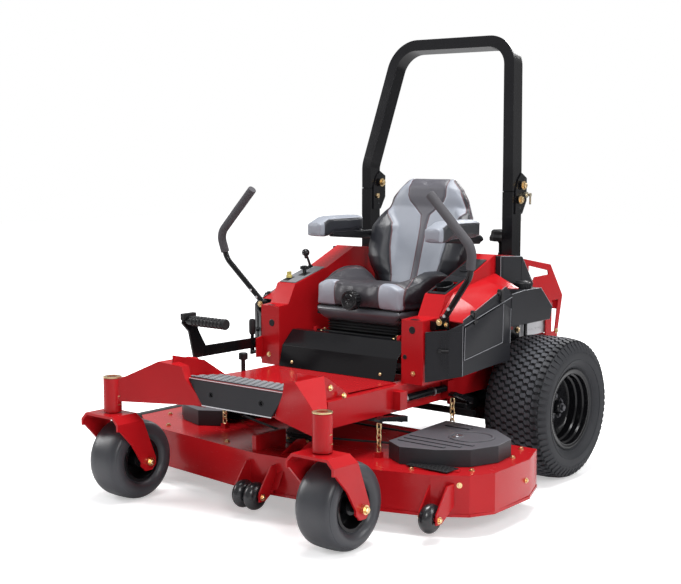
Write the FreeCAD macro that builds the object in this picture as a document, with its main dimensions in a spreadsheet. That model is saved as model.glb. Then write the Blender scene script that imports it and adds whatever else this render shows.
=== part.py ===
import FreeCAD, Part
import math
import os
import re

# Zero turn mower. Millimetres. The origin lies on the ground, on the machine's centre plane, under the
# drive axle: +X is the operator's left, -Y the front and +Z up.

V = FreeCAD.Vector
doc = FreeCAD.newDocument("zero_turn_mower")
sheet = doc.addObject("Spreadsheet::Sheet", "sizes")

SIZES = {
    # wheels
    "tyre_radius": 294, "tyre_width": 290, "tyre_track": 555, "tyre_wall": 18, "bead_radius": 153,
    "rim_lip": 15, "rim_dish": 92, "hub_radius": 70, "shaft_radius": 20,
    "caster_radius": 157, "caster_width": 165, "caster_wall": 12, "caster_bead": 78,
    "wheelbase": 1347, "caster_trail": 86, "caster_track": 532, "caster_axle": 10,
    "fork_width": 214, "fork_plate": 10, "fork_top": 352, "fork_shoulder": 28, "leg_end": 36,
    "stem_radius": 19, "sleeve_radius": 35, "sleeve_low": 356, "sleeve_top": 491,
    # frame
    "rail_inner": 285, "rail_wide": 60, "rail_low": 362, "rail_top": 462, "rail_front": 1180,
    "rail_rear": 440,
    "plate": 6, "sheet_metal": 4, "rail_wall": 5, "arm_low": 398, "arm_high": 545, "arm_kink": 561,
    "footrest_front": 1291, "footrest_high": 497, "bumper_top_half": 247, "bumper_low_half": 176,
    "bumper_low": 401, "ear_peak": 583, "ear_knee": 544,
    # consoles, covers and tanks
    "console_inner": 319, "console_outer": 420, "console_front": 705, "console_step": 712,
    "cap_top": 798, "hip_top": 936, "wing_outer": 536, "cover_top": 820, "cover_skin": 6, "cover_rear": 268,
    "arch": 610,
    "tank_outer": 545, "tank_low": 655, "tank_deck": 795,
    "kick_low": 729, "kick_fold": 706, "kick_top": 642, "kick_half": 300,
    # roll bar
    "post_inner": 352, "post_outer": 402, "post_front": 43, "post_rear": 27, "hinge_y": 20, "hinge_z": 1214,
    "rops_top": 1846, "rops_lean": 118, "rops_corner": 296, "rops_bend": 120, "pin_radius": 8,
    # levers
    "lever_x": 462, "lever_y": 640, "lever_z": 700, "lever_tube": 12, "grip_radius": 18,
    # seat
    "seat_half": 250, "seat_front": 592, "seat_rear": 150, "seat_low": 720, "seat_high": 828,
    "back_half": 235, "back_top": 1240, "back_lean": 130, "back_thick": 105,
    "seat_pan": 596, "hinge_rod": 8, "hinge_rod_y": 578, "hinge_rod_z": 608,
    "armrest_in": 262, "armrest_out": 340, "armrest_low": 1004, "armrest_high": 1076,
    # deck
    "deck_low": 75, "deck_top": 225, "deck_wall": 5, "spindle_x": 520, "spindle_y": 720, "middle_y": 905,
    "blade_radius": 248, "blade_z": 105, "pulley_radius": 75, "pulley_z": 246, "roller_radius": 54,
    "chain_wire": 3, "lift_shaft": 14, "lift_drop": 16, "front_shaft": 800,
    "rear_shaft": 350,
    # clearances
    "slip": 0.05, "gap": 0.3,
}
for row, (alias, value) in enumerate(SIZES.items(), start=1):
    sheet.set(f"A{row}", alias)
    sheet.set(f"B{row}", str(value))
    sheet.setAlias(f"B{row}", alias)
doc.recompute()

WORDS = re.compile(r"\b(" + "|".join(SIZES) + r")\b")
PLANES = {"XY": "XY_Plane", "XZ": "XZ_Plane", "YZ": "YZ_Plane"}
NODES = {}


# ---------------------------------------------------------------- building blocks

def bound(text):
    return WORDS.sub(lambda word: "sizes." + word.group(0), str(text))


def number(text):
    value = sheet.evalExpression(bound(text))
    return float(getattr(value, "Value", value))


def point(x, y, z):
    return V(number(x), number(y), number(z))


def new_body(label):
    body = doc.addObject("PartDesign::Body", label)
    body.AllowCompound = True
    NODES[label] = body
    return body


def new_sketch(body, plane, offset):
    support = next(f for f in body.Origin.OriginFeatures if f.Role == PLANES[plane])
    drawing = body.newObject("Sketcher::SketchObject", "outline")
    drawing.AttachmentSupport = (support, [""])
    drawing.MapMode = "FlatFace"
    drawing.setExpression("AttachmentOffset.Base.z", bound(offset))
    return drawing


def tie(drawing, kind, geometry, position, text):
    from Sketcher import Constraint
    index = drawing.addConstraint(Constraint(kind, -1, 1, geometry, position, number(text)))
    drawing.setExpression(f"Constraints[{index}]", bound(text))


def polygon(drawing, points):
    from Sketcher import Constraint
    first = drawing.GeometryCount
    corners = [V(number(a), number(b), 0) for a, b in points]
    count = len(corners)
    for i in range(count):
        drawing.addGeometry(Part.LineSegment(corners[i], corners[(i + 1) % count]), False)
    for i in range(count):
        drawing.addConstraint(Constraint("Coincident", first + i, 2, first + (i + 1) % count, 1))
    for i, (a, b) in enumerate(points):
        tie(drawing, "DistanceX", first + i, 1, a)
        tie(drawing, "DistanceY", first + i, 1, b)


def circle(drawing, a, b, radius):
    from Sketcher import Constraint
    middle = V(number(a), number(b), 0)
    index = drawing.addGeometry(Part.Circle(middle, V(0, 0, 1), number(radius)), False)
    tie(drawing, "DistanceX", index, 3, a)
    tie(drawing, "DistanceY", index, 3, b)
    size = drawing.addConstraint(Constraint("Radius", index, number(radius)))
    drawing.setExpression(f"Constraints[{size}]", bound(radius))


def extruded(body, kind, plane, low, high, draw):
    # from low to high along the world axis normal to the plane; the XZ plane looks along -Y
    drawing = new_sketch(body, plane, f"-({high})" if plane == "XZ" else low)
    draw(drawing)
    feature = body.newObject("PartDesign::" + kind, kind.lower())
    feature.Profile = drawing
    feature.setExpression("Length", bound(f"({high}) - ({low})"))
    feature.Reversed = kind == "Pocket"
    return feature


def prism(body, plane, low, high, points):
    return extruded(body, "Pad", plane, low, high, lambda drawing: polygon(drawing, points))


def cut(body, plane, low, high, points):
    return extruded(body, "Pocket", plane, low, high, lambda drawing: polygon(drawing, points))


def rod(body, plane, low, high, a, b, radius):
    return extruded(body, "Pad", plane, low, high, lambda drawing: circle(drawing, a, b, radius))


def bore(body, plane, low, high, a, b, radius):
    return extruded(body, "Pocket", plane, low, high, lambda drawing: circle(drawing, a, b, radius))


def box(body, x0, x1, y0, y1, z0, z1):
    return prism(body, "XY", z0, z1, [(x0, y0), (x1, y0), (x1, y1), (x0, y1)])


def cut_box(body, x0, x1, y0, y1, z0, z1):
    return cut(body, "XY", z0, z1, [(x0, y0), (x1, y0), (x1, y1), (x0, y1)])


def on_side(side, points):
    return [(f"{side}*({a})", b) for a, b in points]


def flank(side, low, high):
    # the two ends of a piece that lies left or right of the centre plane
    return (low, high) if side == 1 else (f"-({high})", f"-({low})")


def both_sides(action, body, plane, low, high, points):
    # the same piece left and right of the centre plane
    for side in (1, -1):
        if plane == "YZ":
            action(body, plane, *flank(side, low, high), points)
        else:
            action(body, plane, low, high, on_side(side, points))


def both_round(action, body, plane, low, high, a, b, radius):
    for side in (1, -1):
        if plane == "YZ":
            action(body, plane, *flank(side, low, high), a, b, radius)
        else:
            action(body, plane, low, high, f"{side}*({a})", b, radius)


def lofted(body, plane, sections):
    # a ruled plate or block through outlines drawn at several places along the plane's normal
    drawings = []
    for offset, points in sections:
        drawing = new_sketch(body, plane, f"-({offset})" if plane == "XZ" else offset)
        polygon(drawing, points)
        drawings.append(drawing)
    feature = body.newObject("PartDesign::AdditiveLoft", "lofted")
    feature.Profile = drawings[0]
    feature.Sections = drawings[1:]
    feature.Ruled = True
    return feature


def turned(body, plane, axis, points):
    drawing = new_sketch(body, plane, "0")
    polygon(drawing, points)
    feature = body.newObject("PartDesign::Revolution", "turned")
    feature.Profile = drawing
    feature.ReferenceAxis = (drawing, [axis])
    feature.Angle = 360
    return feature


def soften(body, radius, chosen):
    doc.recompute()
    edges = [f"Edge{i}" for i, edge in enumerate(body.Shape.Edges, start=1) if chosen(edge)]
    feature = body.newObject("PartDesign::Fillet", "rounding")
    feature.Base = (feature.BaseFeature, edges)
    feature.setExpression("Radius", bound(radius))
    return feature


def place(thing, x, y, z):
    for letter, text in zip("xyz", (x, y, z)):
        thing.setExpression(f"Placement.Base.{letter}", bound(text))


def mirrored(label, source):
    twin = doc.addObject("Part::Mirroring", label)
    twin.Source = source
    twin.Normal = V(1, 0, 0)
    twin.Base = V(0, 0, 0)
    NODES[label] = twin
    return twin


def shaped(label, shape):
    piece = doc.addObject("Part::Feature", label)
    piece.Shape = shape
    NODES[label] = piece
    return piece


def route(points, radius):
    # straight runs joined by tangent arcs
    edges = []
    start = points[0]
    for before, corner, after in zip(points, points[1:], points[2:]):
        back = (before - corner).normalize()
        on = (after - corner).normalize()
        half = back.getAngle(on) / 2
        if math.pi / 2 - half < 1e-4:
            continue
        reach = radius / math.tan(half)
        middle = corner + (back + on).normalize() * (radius / math.sin(half) - radius)
        enter = corner + back * reach
        leave = corner + on * reach
        edges.append(Part.LineSegment(start, enter).toShape())
        edges.append(Part.Arc(enter, middle, leave).toShape())
        start = leave
    edges.append(Part.LineSegment(start, points[-1]).toShape())
    return Part.Wire(edges)


def tube(points, bend, radius):
    path = route(points, bend)
    ring = Part.Wire(Part.makeCircle(radius, points[0], points[1] - points[0]))
    return Part.Wire(path.Edges).makePipeShell([ring], True, False)


def along(edge, axis, tolerance=1e-3):
    if edge.Curve.TypeId != "Part::GeomLine":
        return False
    direction = edge.tangentAt(edge.FirstParameter)
    return abs(abs(direction.dot(axis)) - 1) < tolerance


AX, AY, AZ = V(1, 0, 0), V(0, 1, 0), V(0, 0, 1)


# ---------------------------------------------------------------- wheels

def ring_of(outer, inner):
    # a closed section from one flank: outer runs from bead to crown, inner from crown back to bead
    flip = [(f"-({a})", b) for a, b in outer[::-1]]
    flip_inner = [(f"-({a})", b) for a, b in inner[::-1]]
    return outer + flip + flip_inner + inner


def drive_tyre():
    body = new_body("drive_tyre_left")
    half, wall, bead = "tyre_width/2", "tyre_wall", "bead_radius"
    outer = [(f"{half} - 33", bead), (f"{half} - 33", f"{bead} + rim_lip + 3"),
             (f"{half} - 10", f"{bead} + rim_lip + 16"),
             (half, f"{bead} + 66"),
             (f"{half} - 4", "tyre_radius - 34"), (f"{half} - 24", "tyre_radius - 9"),
             (f"{half} - 80", "tyre_radius")]
    inner = [(f"{half} - 80", f"tyre_radius - {wall} - 6"), (f"{half} - 44", f"tyre_radius - {wall} - 14"),
             (f"{half} - {wall}", f"{bead} + 74"), (f"{half} - {wall} - 2", f"{bead} + 40"),
             (f"{half} - 50", f"{bead} + 12"), (f"{half} - 50", bead)]
    turned(body, "XY", "H_Axis", ring_of(outer, inner))
    place(body, "tyre_track", "0", "tyre_radius")
    mirrored("drive_tyre_right", body)


def drive_rim():
    body = new_body("drive_rim_left")
    edge, seat = "(tyre_width/2 - 33 + gap)", "(bead_radius - gap)"
    low, lip = f"({seat} - 6)", f"({seat} + rim_lip)"
    dish = f"({edge} - rim_dish)"
    turned(body, "XY", "H_Axis", [
        (f"-{edge} - 6", low), (f"{dish} - 8", low), (f"{dish} - 8", "hub_radius"),
        (f"{dish} - 50", "hub_radius"),
        (f"{dish} - 50", "shaft_radius + slip"), (f"{dish} + 14", "shaft_radius + slip"),
        (f"{dish} + 14", "hub_radius - 22"),
        (dish, "hub_radius - 22"), (dish, low), (f"{edge} + 6", low), (f"{edge} + 6", lip), (edge, lip),
        (edge, seat),
        (f"-{edge}", seat), (f"-{edge}", lip), (f"-{edge} - 6", lip)])
    place(body, "tyre_track", "0", "tyre_radius")
    mirrored("drive_rim_right", body)


def caster_tyre():
    body = new_body("caster_tyre_left")
    half, wall, bead = "caster_width/2", "caster_wall", "caster_bead"
    outer = [(f"{half} - 20", bead), (f"{half} - 20", f"{bead} + 11"), (f"{half} - 6", f"{bead} + 18"),
             (half, f"{bead} + 38"),
             (f"{half} - 6", "caster_radius - 18"), (f"{half} - 26", "caster_radius - 4"),
             (f"{half} - 60", "caster_radius")]
    inner = [(f"{half} - 60", f"caster_radius - {wall} - 2"), (f"{half} - 34", f"caster_radius - {wall} - 8"),
             (f"{half} - {wall}", f"{bead} + 36"), (f"{half} - {wall} - 6", f"{bead} + 18"),
             (f"{half} - 32", f"{bead} + 6"), (f"{half} - 32", bead)]
    turned(body, "XY", "H_Axis", ring_of(outer, inner))
    place(body, "caster_track", "-wheelbase", "caster_radius")
    mirrored("caster_tyre_right", body)


def caster_rim():
    body = new_body("caster_rim_left")
    edge, seat = "(caster_width/2 - 20 + gap)", "(caster_bead - gap)"
    low, lip, hub = f"({seat} - 4)", f"({seat} + 9)", "(fork_width/2 - fork_plate - gap)"
    axle = "(caster_axle + slip)"
    turned(body, "XY", "H_Axis", [
        (f"-{edge} - 4", low), ("-4", low), ("-4", "30"), ("-58", "30"), ("-58", "17"), (f"-{hub}", "17"),
        (f"-{hub}", axle),
        (hub, axle), (hub, "17"), ("58", "17"), ("58", "30"), ("4", "30"), ("4", low), (f"{edge} + 4", low),
        (f"{edge} + 4", lip), (edge, lip), (edge, seat), (f"-{edge}", seat), (f"-{edge}", lip),
        (f"-{edge} - 4", lip)])
    place(body, "caster_track", "-wheelbase", "caster_radius")
    mirrored("caster_rim_right", body)


def caster_fork():
    # drawn about the swivel axis, then moved out to it; the legs sweep back to the axle
    body = new_body("caster_fork_left")
    half, thick, top, skew = "fork_width/2", "fork_plate", "fork_top", "fork_shoulder"
    low, axle_y, axle_z = "(caster_radius - leg_end)", "caster_trail", "caster_radius"
    outer = [(half, low), (half, f"{top} - {skew}"), (f"{half} - {skew}", top)]
    inner = [(f"{half} - {skew} - {thick}*0.4", f"{top} - {thick}"),
             (f"{half} - {thick}", f"{top} - {skew} - {thick}*0.4"),
             (f"{half} - {thick}", low)]
    prism(body, "XZ", f"-{half} + 37", f"{axle_y} + leg_end", ring_of(outer, inner))
    across = (f"-{half} - 1", f"{half} + 1")
    cut(body, "YZ", *across, [("-72", f"{low} - 1"), (f"{axle_y} - leg_end - 2", f"{low} - 1"),
                              (f"{axle_y} - leg_end", axle_z), (f"{axle_y} - leg_end*2.3", f"{axle_z} + 76"),
                              ("-58", f"{top} - 54"), ("-72", f"{top} - 54")])
    cut(body, "YZ", *across, [("50", f"{top} + 1"), ("50", f"{top} - 4"), ("66", f"{top} - 44"),
                              (f"{axle_y} + leg_end", f"{axle_z} + 12"),
                              (f"{axle_y} + leg_end + 1", f"{top} + 1")])
    both_sides(cut, body, "YZ", f"{half} - {thick} - 1", f"{half} + 1",
               [(f"{axle_y} - leg_end - 3", f"{low} - 1"), (f"{axle_y} - leg_end*0.42", f"{low} - 1"),
                (f"{axle_y} - leg_end", f"{axle_z} - leg_end*0.42"),
                (f"{axle_y} - leg_end - 3", f"{axle_z} - leg_end*0.42")])
    both_sides(cut, body, "YZ", f"{half} - {thick} - 1", f"{half} + 1",
               [(f"{axle_y} + leg_end + 1", f"{low} - 1"), (f"{axle_y} + leg_end*0.42", f"{low} - 1"),
                (f"{axle_y} + leg_end", f"{axle_z} - leg_end*0.42"),
                (f"{axle_y} + leg_end + 1", f"{axle_z} - leg_end*0.42")])
    rod(body, "XY", f"{top} - {thick}", "sleeve_top - 8", "0", "0", "stem_radius")
    rod(body, "YZ", f"-{half} - 12", f"{half} + 12", axle_y, axle_z, "caster_axle")
    for side in (1, -1):
        ends = flank(side, half, f"{half} + 11")
        rod(body, "YZ", *ends, axle_y, axle_z, "caster_axle + 6")
    place(body, "caster_track", "-wheelbase - caster_trail", "0")
    mirrored("caster_fork_right", body)


# ---------------------------------------------------------------- frame

def main_frame():
    body = new_body("main_frame")
    outer = "(rail_inner + rail_wide)"
    both_sides(prism, body, "YZ", "rail_inner", outer,
               [("-rail_front", "rail_low"), ("rail_rear", "rail_low"), ("rail_rear", "rail_top"),
                ("-rail_front", "rail_top")])
    both_sides(cut, body, "YZ", "rail_inner + rail_wall", f"{outer} - rail_wall", [
        ("-rail_front - 1", "rail_low + rail_wall"), ("rail_rear + 1", "rail_low + rail_wall"),
        ("rail_rear + 1", "rail_top - rail_wall"), ("-rail_front - 1", "rail_top - rail_wall")])
    for y in ("-rail_front + 8", "-560", "90", "rail_rear - 60"):
        box(body, "-rail_inner - 1", "rail_inner + 1", y, f"{y} + 50", "rail_low + 6", "rail_low + 12")
        box(body, "-rail_inner - 1", "rail_inner + 1", f"{y} + 44", f"{y} + 50", "rail_low + 6",
            "rail_top - 10")
    # engine plate, and the seat pedestal that is bolted on the rails
    box(body, f"-{outer}", outer, "60", "rail_rear", "rail_top", "rail_top + plate")
    both_sides(prism, body, "YZ", "rail_inner", "rail_inner + plate",
               [("-kick_top + 8", "rail_top + gap"), ("-150", "rail_top + gap"), ("-150", "seat_pan"),
                ("-kick_top + 8", "seat_pan")])
    box(body, "-rail_inner - plate", "rail_inner + plate", "-kick_top + 8", "-150", "seat_pan - plate",
        "seat_pan")
    bore(body, "XY", "rail_top - 1", "rail_top + plate + 1", "0", "200", "24")
    # wheel motor plates
    both_sides(prism, body, "YZ", outer, f"{outer} + plate",
               [("-95", "tyre_radius - 92"), ("95", "tyre_radius - 92"), ("95", "rail_top"),
                ("-95", "rail_top")])
    both_round(bore, body, "YZ", f"{outer} - 1", f"{outer} + plate + 1", "0", "tyre_radius", "30")
    # brackets of the side struts, with their bolts
    for y in ("-790", "-470"):
        both_sides(prism, body, "YZ", outer, f"{outer} + 34",
                   [(y, "rail_low + 10"), (f"{y} + 44", "rail_low + 10"), (f"{y} + 44", "rail_top - 18"),
                    (y, "rail_top - 18")])
    # hangers of the lift shafts
    for y in ("-front_shaft", "-rear_shaft"):
        both_sides(prism, body, "YZ", "rail_inner + 20", "rail_inner + 32", [
            (f"{y} - 26", "rail_low"), (f"{y} + 26", "rail_low"),
            (f"{y} + 20", "rail_low - lift_drop - 20"), (f"{y} - 20", "rail_low - lift_drop - 20")])
        both_round(bore, body, "YZ", "rail_inner + 19", "rail_inner + 33", y, "rail_low - lift_drop",
                   "lift_shaft + slip")
    # lugs of the seat's hinge rod
    both_sides(prism, body, "YZ", "212", "226", [
        ("-hinge_rod_y - 20", "seat_pan - 2"), ("-hinge_rod_y + 20", "seat_pan - 2"),
        ("-hinge_rod_y + 12", "hinge_rod_z + 16"), ("-hinge_rod_y - 12", "hinge_rod_z + 16")])
    both_round(bore, body, "YZ", "211", "227", "-hinge_rod_y", "hinge_rod_z", "hinge_rod + slip")
    # hitch: rear wall with a pierced tongue
    box(body, f"-{outer}", outer, "rail_rear", "rail_rear + plate", "rail_low - 60", "rail_top + plate")
    box(body, "-60", "60", "rail_rear + plate", "rail_rear + 90", "rail_low - 50", "rail_low - 40")
    bore(body, "XY", "rail_low - 51", "rail_low - 39", "0", "rail_rear + 60", "9.6")


def front_carrier():
    body = new_body("front_carrier")
    pivot_y, root_y = "(wheelbase + caster_trail)", "footrest_front"
    both_round(rod, body, "XY", "sleeve_low", "sleeve_top", "caster_track", f"-{pivot_y}", "sleeve_radius")
    for side in (1, -1):
        # swept arm between the sleeve and the footrest, deeper towards the middle
        prism(body, "XY", "arm_low", "arm_kink", on_side(side, [
            ("caster_track - 20", f"-{pivot_y} - 6"), ("bumper_top_half - 60", f"-{root_y} + 2"),
            ("bumper_top_half - 60", f"-{root_y} + 90"), ("rail_inner + 40", f"-rail_front - gap"),
            ("caster_track", f"-{pivot_y} + 30")]))
        cut(body, "XZ", f"-{pivot_y} - 60", f"-{root_y} + 130", on_side(side, [
            ("rail_inner + 62", "arm_kink"), ("caster_track - 40", "sleeve_top - 4"),
            ("caster_track + 60", "sleeve_top - 4"),
            ("caster_track + 60", "arm_kink + 1"), ("rail_inner + 62", "arm_kink + 1")]))
        cut(body, "XZ", f"-{pivot_y} - 60", f"-{root_y} + 130", on_side(side, [
            ("bumper_low_half", "arm_low - 1"), ("bumper_low_half", "arm_low"),
            ("bumper_top_half", "footrest_high"),
            ("bumper_top_half + 14", "arm_high"), ("rail_inner + 62", "arm_kink"),
            ("rail_inner + 62", "arm_kink + 1"),
            ("bumper_low_half - 80", "arm_kink + 1"), ("bumper_low_half - 80", "arm_low - 1")]))
        cut(body, "XY", "arm_low - 1", "sleeve_top - 14", on_side(side, [
            ("caster_track - 52", f"-{pivot_y} + 26"), ("bumper_top_half + 16", f"-{root_y} + 14"),
            ("bumper_top_half + 16", f"-{root_y} + 84"), ("rail_inner + 36", f"-{root_y} + 96")]))
        tub = flank(side, "0", "rail_inner + 26")
        cut_box(body, *tub, f"-{root_y} + 6", f"-{root_y} + 200", "footrest_high - 34", "arm_kink + 1")
        # footrest side wall with its raised ear
        low, high = flank(side, "rail_inner + 26", "rail_inner + 32")
        prism(body, "YZ", low, high, [
            (f"-{root_y} - 24", "arm_low + 60"), ("-rail_front - gap", "rail_low"),
            ("-rail_front - gap", "rail_top + gap"),
            (f"-{root_y} + 271", "rail_top + gap"), (f"-{root_y} + 140", "ear_knee"),
            (f"-{root_y} - 27", "ear_peak")])
    both_round(bore, body, "XY", "sleeve_low - 1", "sleeve_top - 6", "caster_track", f"-{pivot_y}",
               "stem_radius + slip")
    both_round(bore, body, "XY", "sleeve_top - 7", "sleeve_top + 1", "caster_track", f"-{pivot_y}", "11")
    # floor between the side walls, stepping down to the seat pedestal
    floor = [(f"-{root_y}", "footrest_high"), (f"-{root_y} + 210", "rail_top + 12"),
             ("-kick_low", "rail_top + 4"),
             ("-kick_low", "rail_top"), (f"-{root_y} + 208", "rail_top + 8"),
             (f"-{root_y} + 4", "footrest_high - 5")]
    prism(body, "YZ", "-rail_inner - 26", "rail_inner + 26", floor)
    cut(body, "XY", "rail_top", "footrest_high + 1", [
        ("-rail_inner - 30", f"-{root_y} - 1"), ("-bumper_top_half", f"-{root_y} - 1"),
        ("-bumper_top_half", f"-{root_y} + 2"),
        ("-rail_inner - 30", f"-{root_y} + 40")])
    cut(body, "XY", "rail_top", "footrest_high + 1", [
        ("rail_inner + 30", f"-{root_y} - 1"), ("bumper_top_half", f"-{root_y} - 1"),
        ("bumper_top_half", f"-{root_y} + 2"),
        ("rail_inner + 30", f"-{root_y} + 40")])


def footrest_pads():
    body = new_body("footrest_pads")
    front = "(footrest_front)"
    prism(body, "XZ", f"-{front} - 10", f"-{front} - gap", [
        ("-bumper_top_half + 2", "footrest_high"), ("bumper_top_half - 2", "footrest_high"),
        ("bumper_low_half - 2", "bumper_low"), ("-bumper_low_half + 2", "bumper_low")])
    both_round(bore, body, "XZ", f"-{front} - 11", f"-{front}", "128", "448", "8")
    slope = "(footrest_high - rail_top - 12)/210"
    prism(body, "YZ", "-rail_inner + 6", "rail_inner - 6", [
        (f"-{front} + 12", f"footrest_high - 12*{slope} + gap"),
        (f"-{front} + 196", f"footrest_high - 196*{slope} + gap"),
        (f"-{front} + 196", f"footrest_high - 196*{slope} + 7"),
        (f"-{front} + 12", f"footrest_high - 12*{slope} + 7")])


def kick_panel():
    body = new_body("kick_panel")
    skin = "sheet_metal"
    prism(body, "YZ", "-kick_half", "kick_half", [
        ("-kick_low", "rail_top + 4 + gap"), ("-kick_fold", "553"), ("-kick_top", "613"),
        ("-kick_top + 34", "613"),
        (f"-kick_top + 34", f"613 - {skin}"), (f"-kick_top + 2", f"613 - {skin}"),
        (f"-kick_fold + {skin}", "551"),
        (f"-kick_low + {skin}", "rail_top + 4 + gap")])


def console_shell(side, body):
    # folded sheet tower; the driver's left one steps back further under its hood
    skin = "sheet_metal"
    low, arch_y = "(rail_top + gap)", "(-tyre_radius - 30)"
    step = "154" if side == 1 else "104"
    ridge, rear = "(cap_top + 58)", "(-post_front - 8)"
    prism(body, "YZ", *flank(side, "console_inner", "console_outer"), [
        ("-console_front", low), ("-console_front", "console_step"),
        (f"-console_front + {step} - 46", "console_step + 4"), (f"-console_front + {step}", "cap_top"),
        ("-390", ridge), ("-200", "hip_top"), (rear, "hip_top - 14"), (rear, "arch"), (arch_y, "arch"),
        (arch_y, low)])
    cut(body, "YZ", *flank(side, f"console_inner + {skin}", f"console_outer - {skin}"), [
        (f"-console_front + {skin}", f"{low} - 1"), (f"-console_front + {skin}", f"console_step - {skin}"),
        (f"-console_front + {step} - 43", "console_step"),
        (f"-console_front + {step} + 3", f"cap_top - {skin}"),
        ("-388", f"{ridge} - {skin}"), ("-200", f"hip_top - {skin}"),
        (f"{rear} - {skin}", f"hip_top - 14 - {skin}"), (f"{rear} - {skin}", "arch - 1"),
        (f"{arch_y} - {skin}", "arch - 1"), (f"{arch_y} - {skin}", f"{low} - 1")])


def consoles():
    body = new_body("consoles")
    for side in (1, -1):
        console_shell(side, body)
    # lug that carries the foot pedal and the brake lever
    prism(body, "YZ", "-console_outer", "-console_outer + 6", [
        ("-console_front + 2", "490"), ("-console_front + 2", "580"), ("-console_front - 36", "572"),
        ("-console_front - 36", "492")])
    # window for the cup pocket in the left hood
    cut_box(body, "console_inner + 14", "console_outer - 14", "-530", "-440", "cap_top - 12", "cap_top + 60")
    # fender wings: folded plates that fall from the console tops to the side covers
    edge, leaf = "(wing_outer - gap)", "sheet_metal"
    for side in (1, -1):
        lofted(body, "XZ", [(y, on_side(side, [
            ("console_outer - 2", high), (edge, low), (edge, f"{low} - {leaf}"),
            ("console_outer - 2", f"{high} - {leaf}")])) for y, high, low in (
                ("-598", "cap_top - 88", "cap_top - 92"), ("-500", "cap_top + 8", "cap_top - 50"),
                ("-300", "cap_top + 45", "cover_top - 6"), ("-200", "cap_top + 63", "cover_top - 14"))])
    # lever shaft holes
    both_round(bore, body, "YZ", "console_outer - 20", "console_outer + 1", "-lever_y", "lever_z - 8", "9")


def control_panel():
    body = new_body("control_panel")
    run, rise = "(-390 + console_front - 104)", "58"
    skew = f"({rise}/{run})"
    prism(body, "YZ", "-console_outer + 6", "-console_inner - 6", [
        ("-console_front + 112", f"cap_top + 8*{skew} + gap"),
        ("-402", f"cap_top + ({run} - 12)*{skew} + gap"),
        ("-402", f"cap_top + ({run} - 12)*{skew} + 5"), ("-console_front + 112", f"cap_top + 8*{skew} + 5")])


def side_covers():
    body = new_body("side_covers")
    outer, skin, rear = "(wing_outer + 6)", "cover_skin", "(-cover_rear)"
    for side in (1, -1):
        prism(body, "XY", "rail_top + 4", "cover_top + 4", on_side(side, [
            ("console_outer + 6", "-console_front + 8"), (outer, "-612"), (outer, rear),
            (f"{outer} - {skin}", rear), (f"{outer} - {skin}", "-608"),
            ("console_outer + 6", "-console_front + 15")]))
        ends = flank(side, "console_outer", f"{outer} + 1")
        cut(body, "YZ", *ends, [
            ("-console_front", "668"), ("-640", "678"), ("-598", "cap_top - 86"), ("-300", "cover_top"),
            (f"{rear} + 1", "tank_deck - 5"), (f"{rear} + 1", "cover_top + 5"),
            ("-console_front", "cover_top + 5")])
        cut(body, "YZ", *ends, [
            ("-console_front", "rail_top - 1"), ("-console_front", "rail_top + 10"), ("-605", "500"),
            (f"{rear} + 1", "522"), (f"{rear} + 1", "rail_top - 1")])
        # stiffening lip that meets the console wall
        prism(body, "XY", "600", "606", on_side(side, [
            ("console_outer + gap", "-590"), (f"{outer} - {skin}", "-590"), (f"{outer} - {skin}", "-560"),
            ("console_outer + gap", "-560")]))


def fuel_tanks():
    body = new_body("fuel_tanks")
    front = "(-cover_rear + 1)"
    for side in (1, -1):
        prism(body, "YZ", *flank(side, "console_outer + gap", "tank_outer"), [
            (front, "tank_low"), (front, "tank_deck - 8"), ("-170", "tank_deck"), ("-40", "tank_deck"),
            ("56", "705"), ("40", "tank_low")])
        prism(body, "YZ", *flank(side, "console_outer + gap", "console_outer + 26"), [
            ("-198", "tank_deck - 12"), ("-198", "hip_top - 5"), ("-30", "hip_top - 16"), ("62", "798"),
            ("44", "700")])
        cut_box(body, *flank(side, "console_outer + 32", "tank_outer - 6"), f"{front} + 7", "20",
                "tank_low + 6", "tank_deck - 20")
    rod(body, "XY", "tank_deck - 14", "tank_deck", "tank_outer - 50", "-110", "30")


# ---------------------------------------------------------------- engine bay

def engine():
    body = new_body("engine")
    base = "(rail_top + plate)"
    box(body, "-150", "150", "70", "336", base, f"{base} + 120")
    rod(body, "XY", f"{base} + 120", f"{base} + 210", "0", "200", "152")
    rod(body, "XY", f"{base} + 210", f"{base} + 300", "0", "200", "146")
    rod(body, "XY", f"{base} + 300", f"{base} + 320", "0", "200", "110")
    for side in (1, -1):
        box(body, *flank(side, "120", "235"), "120", "250", f"{base} + 30", f"{base} + 150")
    rod(body, "XY", f"{base} - 110", base, "0", "200", "16")
    rod(body, "XY", f"{base} - 150", f"{base} - 110", "0", "200", "70")
    muffler(body)


def muffler(body):
    base = "(rail_top + plate)"
    rod(body, "XY", f"{base} + plate + gap", f"{base} + 210", "-288", "285", "48")
    rod(body, "XY", f"{base} + 210", f"{base} + 250", "-288", "285", "19")
    box(body, "-250", "-148", "270", "286", f"{base} + 80", f"{base} + 110")


def height_dial():
    body = new_body("height_dial")
    rod(body, "XY", "rail_top + gap", "rail_top + 52", "-rail_inner - 42", "-915", "9")
    rod(body, "XY", "rail_top + 52", "rail_top + 80", "-rail_inner - 42", "-915", "19")
    soften(body, "5", lambda edge: edge.BoundBox.ZMin > number("rail_top + 76"))


def air_cleaner():
    body = new_body("air_cleaner")
    x, y, base = "285", "82", "(rail_top + plate)"
    rod(body, "XY", base, f"{base} + 130", x, f"{y} + 30", "38")
    rod(body, "XY", f"{base} + 130", "905", x, y, "48")
    rod(body, "XY", "905", "975", x, y, "22")
    rod(body, "XY", "972", "984", x, y, "60")
    rod(body, "XY", "984", "1018", x, y, "52")


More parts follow.
